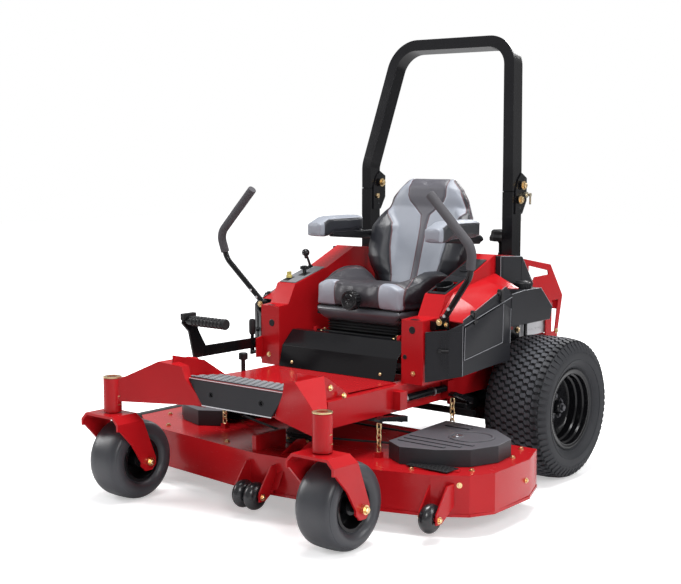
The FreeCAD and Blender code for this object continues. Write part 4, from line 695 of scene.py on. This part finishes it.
frame_bar = bmesh.new()
block(frame_bar, 0.396, 0.404, 0.070, 0.090, 0.470, 0.700)
rounded(frame_bar, 0.002, 2)
finished("shield_bar", frame_bar, black_enamel, "chassis")


# ---------------------------------------------------------------- roll bar hardware
# The folding hoop turns between steel cheeks on bolts; each side has a zinc locking pin with a hairpin, and black
# rubber caps keep the hoop from rattling.

pins = coating("pin_zinc", (0.74, 0.66, 0.46), (0.62, 0.58, 0.50), 0.28, 500, 0.0001, metallic=1.0)
for side, hand in ((1, "left"), (-1, "right")):
    eased("rops_pin_" + hand, pins, width=0.001)
    collar = bmesh.new()
    x = 0.4132 * side
    bar(collar, (x, 0.045, 1.174), (x + 0.0060 * side, 0.045, 1.174), 0.0130, 24)
    bar(collar, (x + 0.020 * side, 0.045, 1.174), (x + 0.024 * side, 0.045, 1.174), 0.0085, 20)
    finished("pin_collar_" + hand, collar, pins, "rops_pin_" + hand)

holes = bmesh.new()
for y, z in ((0.046, 1.236), (0.046, 1.206), (0.012, 1.120), (0.012, 1.140)):
    for x, out in ((0.4073, 1), (0.3467, -1)):
        turned(holes, [(0.0062, 0), (0.0058, 0.0006), (0.0052, 0.0004), (0, 0.0002)], (x, y, z), (out, 0, 0), 20)
both(holes)
finished("cheek_holes", holes, shroud_black, "chassis")


# ---------------------------------------------------------------- hydraulic drives
# Each pump carries a finned cooling fan on top and an oil filter at its front, with a black
# cross tube under the frame.

case_paint = coating("case_paint", (0.018, 0.018, 0.020), (0.030, 0.030, 0.033), 0.42, 260, 0.0004, metallic=0.3)
fittings = bmesh.new()
turned(fittings, [(0.0, 0.3900), (0.022, 0.3900), (0.026, 0.3840), (0.074, 0.3840), (0.078, 0.3800), (0.078, 0.3700),
                  (0.0, 0.3700)], (0.238, -0.040, 0), (0, 0, 1), 40)
turned(fittings, [(0.0, 0.095), (0.030, 0.095), (0.037, 0.088), (0.038, 0.010), (0.034, 0.0), (0.0, 0.0)],
       (0.232, -0.080, 0.288), (0, -1, 0), 36)
for i in range(9):
    block(fittings, 0.190 + i * 0.010, 0.193 + i * 0.010, -0.090, 0.075, 0.222, 0.236)
both(fittings)
bar(fittings, (-0.330, -0.205, 0.262), (0.330, -0.205, 0.262), 0.015, 24)
finished("drive_fittings", fittings, case_paint, "chassis")


# ---------------------------------------------------------------- drive levers
# Bent steel tubes under black enamel carry long grips of charcoal foam. Each tube bolts to a black hub block that
# leaves the console through a slot, with zinc bolts at its root.

foam = coating("grip_foam", (0.060, 0.058, 0.064), (0.085, 0.082, 0.090), 0.8, 900, 0.0009, shine=0.25)
for side, hand in ((1, "left"), (-1, "right")):
    eased("lever_grip_" + hand, foam, width=0.003, limit=50)
    eased("lever_hub_" + hand, black_enamel, width=0.002)
    roots = bmesh.new()
    bolt(roots, (0.466 * side, -0.6605, 0.708), (0, -1, 0), 0.0090)
    bolt(roots, (0.4815 * side, -0.640, 0.698), (side, 0, 0), 0.0075)
    finished("root_bolts_" + hand, roots, yellow_zinc, "lever_hub_" + hand)
    clamp = bmesh.new()
    for near in (0.035, 0.075):
        start = Vector((0.466, -0.640, 0.708))
        line = (Vector((0.628, -0.695, 0.896)) - start).normalized()
        place = start + line * near
        bar(clamp, (place.x * side, place.y - 0.012, place.z), (place.x * side, place.y - 0.016, place.z), 0.0070, 6)
    finished("tube_bolts_" + hand, clamp, bright_zinc, "lever_" + hand)


# ---------------------------------------------------------------- pedal, brake and control panel
# The deck-lift pedal is a black casting with a ribbed foot bar; the parking brake lever stands beside it. The right
# console's grey panel carries the throttle with its ball, the blade knob and the key.

eased("lift_pedal", black_enamel, width=0.003, segments=3)
tread = bmesh.new()
for i in range(9):
    x = -0.400 + i * 0.0195
    turned(tread, [(0.0192, 0), (0.0212, 0.003), (0.0212, 0.009), (0.0192, 0.012)], (x, -1.122, 0.688), (1, 0, 0), 28)
bar(tread, (-0.2260, -1.122, 0.688), (-0.2180, -1.122, 0.688), 0.0225, 28, 0.0205)
block(tread, -0.446, -0.426, -1.150, -1.080, 0.690, 0.716)
rounded(tread, 0.0012, 1, limit=45)
finished("pedal_ribs", tread, pull_rubber, "lift_pedal")
eased("height_dial", black_plastic, width=0.004, segments=3)

panel_grey = coating("panel_grey", (0.20, 0.205, 0.22), (0.15, 0.155, 0.165), 0.45, 1200, 0.00012)
eased("control_panel", panel_grey, width=0.0015)


def panel_height(y):
    return 0.798 + (y + 0.601) * 58 / 211 + 0.0056


legends = bmesh.new()
for x0, x1, y0, y1 in ((-0.398, -0.382, -0.462, -0.410), (-0.372, -0.338, -0.520, -0.480),
                       (-0.405, -0.375, -0.585, -0.540)):
    plate(legends, [(x0, y0, panel_height(y0)), (x1, y0, panel_height(y0)), (x1, y1, panel_height(y1)),
                    (x0, y1, panel_height(y1))], (0, 0, 0.0007))
finished("panel_recesses", legends, shroud_black, "chassis")
marks = bmesh.new()
for i in range(7):
    y = -0.458 + i * 0.007
    plate(marks, [(-0.380, y, panel_height(y)), (-0.374, y, panel_height(y)),
                  (-0.374, y + 0.0018, panel_height(y + 0.0018)), (-0.380, y + 0.0018, panel_height(y + 0.0018))],
          (0, 0, 0.0006))
finished("throttle_marks", marks, pale_print_and_highlight, "chassis")

gloss_black = coating("gloss_black", (0.008, 0.008, 0.009), (0.012, 0.012, 0.014), 0.16, 500, 0.0001, shine=0.45)
eased("throttle_lever", gloss_black, width=0.001)
ball = bmesh.new()
bmesh.ops.create_uvsphere(ball, u_segments=32, v_segments=20, radius=0.0165,
                          matrix=Matrix.Translation((-0.390, -0.451, 0.919)))
turned(ball, [(0.0065, 0), (0.0072, 0.003), (0.0072, 0.010), (0.0060, 0.014)], (-0.390, -0.448, 0.894),
       (0, -0.25, 1), 20)
finished("throttle_ball", ball, gloss_black, "throttle_lever")

eased("pto_knob", gloss_black, width=0.003, segments=3)
knob = bmesh.new()
top = panel_height(-0.500) + 0.034
for i in range(16):
    angle = math.tau * i / 16
    bar(knob, (-0.355 + 0.0165 * math.cos(angle), -0.500 + 0.0165 * math.sin(angle), top - 0.013),
        (-0.355 + 0.0165 * math.cos(angle), -0.500 + 0.0165 * math.sin(angle), top - 0.001), 0.0024, 8)
turned(knob, [(0, 0.0025), (0.010, 0.0020), (0.0145, 0.0)], (-0.355, -0.500, top), (0, 0, 1), 32)
finished("knob_flutes", knob, gloss_black, "pto_knob")

key_brass = coating("key_brass", (0.80, 0.68, 0.22), (0.62, 0.52, 0.20), 0.35, 400, 0.0001, metallic=0.6)
eased("ignition_key", key_brass, width=0.001)
eased("brake_lever", black_enamel, width=0.003, segments=3)
grip = bmesh.new()
turned(grip, [(0.0125, 0.590), (0.0140, 0.594), (0.0140, 0.640), (0.0120, 0.648), (0.006, 0.6505), (0, 0.651)],
       (-0.457, -0.722, 0), (0, 0, 1), 32)
finished("brake_grip", grip, pull_rubber, "brake_lever")


# ---------------------------------------------------------------- seat suspension
# Under the cushion is a glossy black moulded apron, then a rubber bellows over the suspension, on a black base that
# tips forward on its hinge rod.

apron = bmesh.new()
block(apron, -0.226, 0.226, -0.590, -0.172, 0.652, 0.7190)
rounded(apron, 0.024, 5, limit=60)
for vert in apron.verts:
    low = (0.7190 - vert.co.z) / 0.067
    vert.co.x *= 1 - 0.20 * low ** 2
    vert.co.y += 0.030 * low ** 2 * (1 if vert.co.y < -0.4 else -1)
# the apron is glossy black vinyl coloured a dark grey: the grey is painted sheen
apron_vinyl_painted_sheen = coating("apron_vinyl_painted_sheen", (0.060, 0.062, 0.072), (0.080, 0.082, 0.095), 0.30, 900, 0.0002, shine=0.5)
finished("seat_apron", apron, apron_vinyl_painted_sheen, "seat", crease=60)

bellows = bmesh.new()
block(bellows, -0.176, 0.176, -0.541, -0.189, 0.6125, 0.660)
around_edges = [edge for edge in bellows.edges if abs(edge.verts[0].co.z - edge.verts[1].co.z) > 0.01]
bmesh.ops.subdivide_edges(bellows, edges=around_edges, cuts=7, use_grid_fill=True)
for vert in bellows.verts:
    fold = round((vert.co.z - 0.6125) / 0.0475 * 8)
    if fold % 2:
        vert.co.x *= 1.06
        vert.co.y = -0.365 + (vert.co.y + 0.365) * 1.06
rounded(bellows, 0.002, 2)
finished("seat_bellows", bellows, pull_rubber, "seat")

seat_bolts = bmesh.new()
for x in (-0.190, 0.190):
    bolt(seat_bolts, (x, -0.5805, 0.606), (0, -1, 0), 0.007)
    bolt(seat_bolts, (x, -0.560, 0.6125), (0, 0, 1), 0.007)
finished("seat_bolts", seat_bolts, yellow_zinc, "seat")


# ---------------------------------------------------------------- seat
# A high-backed suspension seat in coated vinyl over foam: grey panels on the back and on the front corners of the
# cushion, a charcoal strip that widens into the headrest, black bolsters, and dark red piping in every seam.

def vinyl(name, base, parts, seams, gloss=0.40, thread=(0.080, 0.028, 0.034)):
    # each part is (attribute, colour, roughness) and shows where its signed distance is positive
    material = bpy.data.materials.new(name)
    material.use_nodes = True
    tree = material.node_tree
    shader = tree.nodes["Principled BSDF"]
    shader.inputs["Specular IOR Level"].default_value = 0.5
    spot = shaded(tree, "TexCoord", {})["Object"]
    cloud = shaded(tree, "TexNoise", {"Vector": spot, "Scale": 9, "Detail": 5})["Fac"]
    colour = shaded(tree, "Mix", {"Factor": cloud, "A": (*base, 1), "B": (*[0.84 * tone for tone in base], 1)},
                    data_type="RGBA")["Result"]
    rough = shaded(tree, "MapRange", {"Value": cloud, "To Min": gloss - 0.06, "To Max": gloss + 0.06})[0]
    for attribute, tone, dull in parts:
        inside = shaded(tree, "Attribute", {}, attribute_name=attribute)["Fac"]
        edge = shaded(tree, "MapRange", {"Value": inside, "From Min": -0.0004, "From Max": 0.0004})[0]
        colour = shaded(tree, "Mix", {"Factor": edge, "A": colour, "B": (*tone, 1)}, data_type="RGBA")["Result"]
        rough = shaded(tree, "Mix", {"Factor": edge, "A": rough, "B": dull})["Result"]
    height = shaded(tree, "TexVoronoi", {"Vector": spot, "Scale": 520})["Distance"]
    for attribute in seams:
        inside = shaded(tree, "Attribute", {}, attribute_name=attribute)["Fac"]
        near = shaded(tree, "Math", {0: inside}, operation="ABSOLUTE")[0]
        cord = shaded(tree, "MapRange", {"Value": near, "From Min": 0.0014, "From Max": 0.0024, "To Min": 1,
                                         "To Max": 0})[0]
        colour = shaded(tree, "Mix", {"Factor": cord, "A": colour, "B": (*thread, 1)}, data_type="RGBA")["Result"]
        height = shaded(tree, "Math", {0: cord, 1: 3.0, 2: height}, operation="MULTIPLY_ADD")[0]
    bump = shaded(tree, "Bump", {"Height": height, "Strength": 0.5, "Distance": 0.0006})["Normal"]
    tree.links.new(bump, shader.inputs["Normal"])
    tree.links.new(colour, shader.inputs["Base Color"])
    tree.links.new(rough, shader.inputs["Roughness"])
    return material


def cut_foam(shape, cuts=11):
    # a block of foam, carved by moving the points of a finely divided cube
    form = bmesh.new()
    bmesh.ops.create_cube(form, size=2)
    bmesh.ops.subdivide_edges(form, edges=form.edges[:], cuts=cuts, use_grid_fill=True)
    for vert in form.verts:
        vert.co = shape(*vert.co)
    return form


def covered(piece, voxel, cap, pressure=4.0):
    # the cover is sewn round the foam and swells against it, no further than cap from the cut shape
    def baked():
        mesh = bpy.data.meshes.new_from_object(piece.evaluated_get(bpy.context.evaluated_depsgraph_get()))
        piece.modifiers.clear()
        piece.data = mesh

    even = piece.modifiers.new("even", "REMESH")
    even.mode = "VOXEL"
    even.voxel_size = voxel
    smooth = piece.modifiers.new("smooth", "SMOOTH")
    smooth.iterations = 6
    baked()
    before = [vert.co.copy() for vert in piece.data.vertices]
    swell = piece.modifiers.new("swell", "CLOTH")
    swell.settings.use_pressure = True
    swell.settings.uniform_pressure_force = pressure
    swell.settings.effector_weights.gravity = 0
    for step in range(1, 21):
        bpy.context.scene.frame_set(step)
    baked()
    bpy.context.scene.frame_set(1)
    for vert, start in zip(piece.data.vertices, before):
        moved = vert.co - start
        if moved.length > cap:
            vert.co = start + moved * (cap / moved.length)
    finer = piece.modifiers.new("finer", "SUBSURF")
    finer.levels = finer.render_levels = 1
    baked()


def sewn(piece, measure, seams, depth=0.0030):
    # writes the signed distances, then pulls the cover in along each seam
    mesh = piece.data
    for name in measure:
        mesh.attributes.new(name, "FLOAT", "POINT")
    places = [vert.co.copy() for vert in mesh.vertices]
    outward = [vert.normal.copy() for vert in mesh.vertices]
    pull = [0.0] * len(places)
    for name, distance in measure.items():
        values = [distance(place) for place in places]
        mesh.attributes[name].data.foreach_set("value", values)
        if name in seams:
            pull = [max(old, math.exp(-(value / 0.0055) ** 2)) for old, value in zip(pull, values)]
    moved = [place - normal * depth * draw for place, normal, draw in zip(places, outward, pull)]
    mesh.vertices.foreach_set("co", [number for place in moved for number in place])
    mesh.polygons.foreach_set("use_smooth", [True] * len(mesh.polygons))


def along_table(table, value):
    for (a, low), (b, high) in zip(table, table[1:]):
        if value <= b:
            return low + (high - low) * max(0.0, value - a) / (b - a)
    return table[-1][1]


def eased_step(value):
    value = min(max(value, 0.0), 1.0)
    return value * value * (3 - 2 * value)


back_widths = [(0.726, 0.190), (0.760, 0.206), (0.871, 0.236), (0.930, 0.249), (1.018, 0.252), (1.075, 0.240),
               (1.121, 0.217), (1.161, 0.198), (1.205, 0.162), (1.236, 0.136), (1.246, 0.120)]
back_fronts = [(0.726, -0.206), (0.828, -0.206), (1.244, -0.076)]
back_depths = [(0.726, 0.052), (0.828, 0.094), (1.244, 0.066)]
strip_widths = [(0.726, 0.015), (0.950, 0.015), (1.040, 0.017), (1.082, 0.023), (1.110, 0.055), (1.140, 0.088),
                (1.165, 0.099), (1.250, 0.097)]
bolster_lines = [(0.726, 0.105), (0.838, 0.118), (0.941, 0.141), (1.010, 0.147), (1.045, 0.156), (1.080, 0.190),
                 (1.112, 0.225), (1.250, 0.310)]


def back_shape(u, w, v):
    z = 0.731 + (v + 1) / 2 * 0.510
    half = along_table(back_widths, z)
    x = u * half * (1 - 0.05 * abs(v) ** 8)
    front = along_table(back_fronts, z)
    wing = eased_step((abs(x) - along_table(bolster_lines, z) + 0.02) / 0.06)
    dish = 0.024 * (1 - wing) * eased_step((z - 0.76) / 0.08) * eased_step((1.20 - z) / 0.10)
    dish -= 0.040 * wing * eased_step((z - 0.80) / 0.10) * eased_step((1.11 - z) / 0.08)
    deep = along_table(back_depths, z)
    thick = deep * (1 - 0.55 * abs(u) ** 5) * (1 - 0.35 * abs(v) ** 12)
    return front + dish * (1 - w) / 2, z, x, thick, w, deep


def back_point(u, w, v):
    front, z, x, thick, w, deep = back_shape(u, w, v)
    near = front + (deep - thick) * 0.35
    return (x, near + thick * (w + 1) / 2, z)


def cushion_point(u, v, w):
    y = -0.587 + (v + 1) / 2 * 0.372
    half = 0.2225 + 0.022 * eased_step((y + 0.585) / 0.14)
    x = u * half * (1 - 0.06 * abs(v) ** 10)
    top = along_table([(-0.587, 0.826), (-0.530, 0.832), (-0.300, 0.818), (-0.260, 0.806), (-0.215, 0.775)], y)
    hollow = 0.018 * eased_step((0.215 - abs(x)) / 0.09) * eased_step((y + 0.60) / 0.12)
    hollow -= 0.052 * eased_step((abs(x) - 0.150) / 0.06) * eased_step((y + 0.57) / 0.20)
    nose = 0.010 * eased_step((0.13 - abs(x)) / 0.05) * eased_step((-0.50 - y) / 0.09)
    top -= hollow + nose + 0.020 * abs(u) ** 9
    z = 0.7225 + (w + 1) / 2 * (top - 0.7225)
    if w < 0:
        x *= 1 + 0.035 * w * w
    return (x, y + (0.010 * (1 - w * w) * -1 if v < -0.95 and abs(u) < 0.9 else 0), z)


back_vinyl = vinyl("back_vinyl", (0.27, 0.29, 0.335), [("heart", (0.078, 0.076, 0.090), 0.42),
                                                       ("flank", (0.016, 0.017, 0.022), 0.36),
                                                       ("edging", (0.075, 0.072, 0.085), 0.40)],
                   ["heart", "flank", "edging"], gloss=0.42)
backrest = finished("backrest_cover", cut_foam(back_point), back_vinyl, "seat", crease=180)
covered(backrest, 0.006, 0.005)


def behind_front(co):
    return co.y - along_table(back_fronts, co.z) - 0.040


sewn(backrest, {"heart": lambda co: min(along_table(strip_widths, co.z) - abs(co.x), 0.030 - behind_front(co)),
                "flank": lambda co: max(abs(co.x) - along_table(bolster_lines, co.z),
                                        min(abs(co.x) - along_table(back_widths, co.z) + 0.020,
                                            behind_front(co) + 0.022)),
                "edging": lambda co: min(behind_front(co) + 0.005, co.z - 1.035)}, ("heart", "flank", "edging"))
backrest.data.materials[0] = back_vinyl
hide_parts("seat_backrest")

cushion_vinyl = vinyl("cushion_vinyl", (0.040, 0.038, 0.045), [("corner", (0.27, 0.29, 0.335), 0.40),
                                                               ("bolster", (0.016, 0.017, 0.022), 0.36)],
                      ["corner", "bolster"], gloss=0.38)
cushion = finished("cushion_cover", cut_foam(cushion_point), cushion_vinyl, "seat", crease=180)
covered(cushion, 0.006, 0.0045)
creased = []
for vert in cushion.data.vertices:
    x, y, z = vert.co
    loose = eased_step((0.115 - abs(x)) / 0.04) * eased_step((-0.515 - y) / 0.03)
    creased.append(vert.co + vert.normal * noise.noise(Vector((x * 26, y * 8, z * 30))) * 0.0052 * loose)
cushion.data.vertices.foreach_set("co", [number for place in creased for number in place])
sewn(cushion, {"corner": lambda co: min(0.054 - abs(abs(co.x) - 0.1685), -0.548 - co.y),
               "bolster": lambda co: abs(co.x) - 0.2225 + 0.022 * eased_step((co.y + 0.56) / 0.12)},
     ("corner", "bolster"))
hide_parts("seat_cushion")

arm_vinyl = vinyl("arm_vinyl", (0.27, 0.29, 0.335), [("side", (0.013, 0.014, 0.018), 0.30)], ["side"], gloss=0.40,
                  thread=(0.05, 0.05, 0.06))
for side, hand in ((1, "left"), (-1, "right")):
    def arm_point(u, v, w):
        y = -0.344 + v * 0.148
        x = 0.308 + u * 0.0410 * (1 - 0.10 * abs(v) ** 8)
        crown = 1.0770 - 0.004 * abs(v) ** 4 - 0.008 * abs(u) ** 4 - 0.020 * eased_step((-0.42 - y) / 0.075)
        belly = 1.0060 - 0.014 * eased_step((-0.39 - y) / 0.07) + 0.006 * abs(v) ** 8
        return (x * side, y, belly + (w + 1) / 2 * (crown - belly))

    pad = finished("armrest_pad_" + hand, cut_foam(arm_point, 9), arm_vinyl, "armrest_" + hand, crease=180)
    covered(pad, 0.004, 0.0018)
    sewn(pad, {"side": lambda co: min(abs(abs(co.x) - 0.308) - 0.0370, co.y + 0.466, 1.066 - co.z)}, ("side",), 0.0015)
    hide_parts("armrest_" + hand)

    bracket = bmesh.new()
    plate(bracket, [(0.274 * side, -0.400, 0.990), (0.274 * side, -0.400, 1.0085), (0.274 * side, -0.125, 1.0085),
                    (0.274 * side, -0.104, 0.995), (0.274 * side, -0.130, 0.970), (0.274 * side, -0.210, 0.974),
                    (0.274 * side, -0.330, 0.984)], (0.028 * side, 0, 0))
    rounded(bracket, 0.005, 3)
    bar(bracket, (0.2353 * side, -0.124, 0.990), (0.276 * side, -0.124, 0.990), 0.0138, 28)
    bolt(bracket, (0.302 * side, -0.124, 0.990), (side, 0, 0), 0.007)
    finished("armrest_bracket_" + hand, bracket, black_plastic, "armrest_" + hand)

eased("seat_knob", gloss_black, width=0.003, segments=3)
dial = bmesh.new()
turned(dial, [(0.0385, 0.0), (0.0385, 0.0015), (0.0350, 0.0020), (0.0335, 0.0008), (0.0270, 0.0008), (0.0255, 0.0030),
              (0.0130, 0.0034), (0.0115, 0.0016), (0.0065, 0.0016), (0.0050, 0.0036), (0, 0.0040)],
       (0, -0.636, 0.754), (0, -1, 0), 56)
for i in range(20):
    angle = math.tau * i / 20
    x, z = 0.0385 * math.cos(angle), 0.754 + 0.0385 * math.sin(angle)
    bar(dial, (x, -0.606, z), (x, -0.635, z), 0.0030, 8)
for i in range(5):
    angle = math.tau * i / 5
    x, z = 0.0190 * math.cos(angle), 0.754 + 0.0190 * math.sin(angle)
    bar(dial, (x, -0.6385, z), (x, -0.6402, z), 0.0040, 12)
finished("seat_dial", dial, gloss_black, "seat_knob", crease=30)


# ---------------------------------------------------------------- cutting deck fittings
# The red deck has a folded lip with a bright edge, gold bolts along its top, a black tread step on the left, and grey
# moulded belt covers, painted lighter on top and darker on their walls as light and shade, with raised ridges held by
# a steel clip.

lip = bmesh.new()
rim_line = [(0, -1.195), (0.330, -1.158), (0.700, -1.045), (0.815, -0.965), (0.862, -0.873), (0.850, -0.620),
            (0.786, -0.460)]
for (ax, ay), (bx, by) in zip(rim_line, rim_line[1:]):
    out = Vector((by - ay, ax - bx, 0)).normalized() * 0.0005
    plate(lip, [(ax + out.x, ay + out.y, 0.0752), (bx + out.x, by + out.y, 0.0752),
                (bx + out.x, by + out.y, 0.0860), (ax + out.x, ay + out.y, 0.0860)], out * 5)
for vert in lip.verts:
    vert.co.x = max(-0.862, min(vert.co.x, 0.862))
finished("deck_lip", lip, red_enamel, "deck")

deck_bolts = bmesh.new()
for x, y in ((0.20, -1.120), (-0.22, -1.120), (0.60, -1.020), (0.780, -0.900), (0.790, -0.640), (0.740, -0.500),
             (0.300, -0.500), (-0.300, -0.500), (-0.780, -0.900), (-0.780, -0.560), (0.330, -1.040), (-0.62, -1.060)):
    bolt(deck_bolts, (x, y, 0.2252), (0, 0, 1), 0.0075)
for x, y in ((0.520, -0.720), (-0.520, -0.720), (0, -0.905)):
    for i in range(4):
        angle = math.tau * (i + 0.5) / 4
        bolt(deck_bolts, (x + 0.066 * math.cos(angle), y + 0.066 * math.sin(angle), 0.2332), (0, 0, 1), 0.0070)
bolt(deck_bolts, (0.8515, -0.645, 0.150), (1, 0.05, 0), 0.0070)
bolt(deck_bolts, (0.7850, -0.9850, 0.190), (0.6, -0.8, 0), 0.007)
finished("deck_bolts", deck_bolts, yellow_zinc, "deck")

gusset = bmesh.new()
for x in (0.085, 0.150):
    plate(gusset, [(x, -1.150, 0.2245), (x, -0.990, 0.2245), (x, -1.010, 0.262), (x, -1.060, 0.268)], (0.004, 0, 0))
plate(gusset, [(0.600, -1.010, 0.2252), (0.760, -0.950, 0.2252), (0.742, -0.915, 0.2252), (0.590, -0.972, 0.2252)],
      (0, 0, 0.004))
plate(gusset, [(0.084, -1.216, 0.098), (0.084, -1.160, 0.200), (0.130, -1.160, 0.215), (0.130, -1.216, 0.112)],
      (0, 0.004, 0.004))
rounded(gusset, 0.001, 2)
finished("deck_gussets", gusset, red_enamel, "deck")

step = bmesh.new()
block(step, 0.560, 0.740, -1.000, -0.925, 0.2293, 0.2335)
rounded(step, 0.0012, 2)
for row in range(4):
    for column in range(10):
        x, y = 0.574 + column * 0.0165 + row % 2 * 0.006, -0.990 + row * 0.0165
        block(step, x, x + 0.009, y, y + 0.006, 0.2333, 0.2352)
finished("deck_step", step, pull_rubber, "deck")

cover_grey = coating("cover_grey", (0.105, 0.102, 0.115), (0.080, 0.078, 0.088), 0.42, 1100, 0.00015)
tree = cover_grey.node_tree
paint = tree.nodes["Principled BSDF"].inputs["Base Color"]
# painted light and shade: faces turned upwards keep the grey, faces turned sideways are painted near black
upward = shaded(tree, "SeparateXYZ", {0: shaded(tree, "NewGeometry", {})["Normal"]})["Z"]
lit_top_mask = shaded(tree, "MapRange", {"Value": upward, "From Min": 0.2, "From Max": 0.85})[0]
painted_wall_shade = shaded(tree, "Mix", {"Factor": lit_top_mask, "A": (0.026, 0.026, 0.030, 1), "B": paint.links[0].from_socket},
              data_type="RGBA")["Result"]
tree.links.new(painted_wall_shade, paint)
eased("belt_covers", cover_grey, width=0.006, segments=3)
ridges = bmesh.new()
for y0, y1, x0, x1 in ((-0.905, -0.890, 0.452, 0.660), (-0.860, -0.845, 0.446, 0.700), (-0.815, -0.800, 0.440, 0.726)):
    block(ridges, x0, x1, y0, y1, 0.2895, 0.2935)
turned(ridges, [(0.088, 0.2895), (0.086, 0.2945), (0.078, 0.2950), (0.075, 0.2900)], (0.640, -0.690, 0), (0, 0, 1), 48)
block(ridges, 0.448, 0.560, -0.590, -0.560, 0.2895, 0.2950)
rounded(ridges, 0.0014, 2)
both(ridges)
finished("cover_ridges", ridges, cover_grey, "deck")
clip = bmesh.new()
block(clip, 0.585, 0.605, -0.760, -0.690, 0.2898, 0.2945)
bar(clip, (0.595, -0.725, 0.290), (0.595, -0.725, 0.302), 0.006, 16)
both(clip)
finished("cover_clips", clip, bright_zinc, "deck")

chain = bpy.data.curves.new("deck_chain_links", "CURVE")
chain.dimensions = "3D"
chain.bevel_depth = 0.0030
chain.bevel_resolution = 2
for y, low, high in ((-0.950, 0.2453, 0.360), (-0.470, 0.2653, 0.385)):
    count = 2 * round((high - low) / 0.050) + 1
    pitch = (high - low - 0.0123) / count
    for side in (1, -1):
        for i in range(count):
            z = low + 0.003 + pitch * (i + 0.5)
            long, wide = pitch / 2 + 0.0034, 0.0088
            link = chain.splines.new("NURBS")
            link.points.add(7)
            for point, (a, b) in zip(link.points, ((-1, -0.55), (-0.75, -1), (0.75, -1), (1, -0.55), (1, 0.55),
                                                   (0.75, 1), (-0.75, 1), (-1, 0.55))):
                flat = (a * wide, 0) if i % 2 == 0 else (0, a * wide)
                point.co = (0.400 * side + flat[0], y + flat[1], z + b * long, 1)
            link.use_cyclic_u = True
            link.order_u = 3
            link.resolution_u = 4
chain.materials.append(yellow_zinc)
links = bpy.data.objects.new("deck_chain_links", chain)
bpy.context.scene.collection.objects.link(links)
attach(links, "deck")
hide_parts("deck_chains")

cast_iron = coating("cast_iron", (0.030, 0.030, 0.032), (0.045, 0.044, 0.045), 0.5, 220, 0.0006, metallic=0.4)
for node in ("spindle_housings", "spindle_left", "spindle_middle", "spindle_right"):
    eased(node, cast_iron, width=0.002)
belt_cloth = coating("belt_cloth", (0.018, 0.018, 0.020), (0.030, 0.029, 0.030), 0.75, 1600, 0.0004)
eased("deck_belt", belt_cloth, width=0.001)
eased("chute_deflector", pull_rubber, width=0.003, segments=3)

struts = bmesh.new()
for side in (1, -1):
    bar(struts, (0.362 * side, -0.560, 0.412), (0.362 * side, -0.552, 0.412), 0.0185, 28)
    bar(struts, (0.362 * side, -0.745, 0.412), (0.362 * side, -0.738, 0.412), 0.0180, 28)
finished("strut_collars", struts, bright_zinc, "chassis")
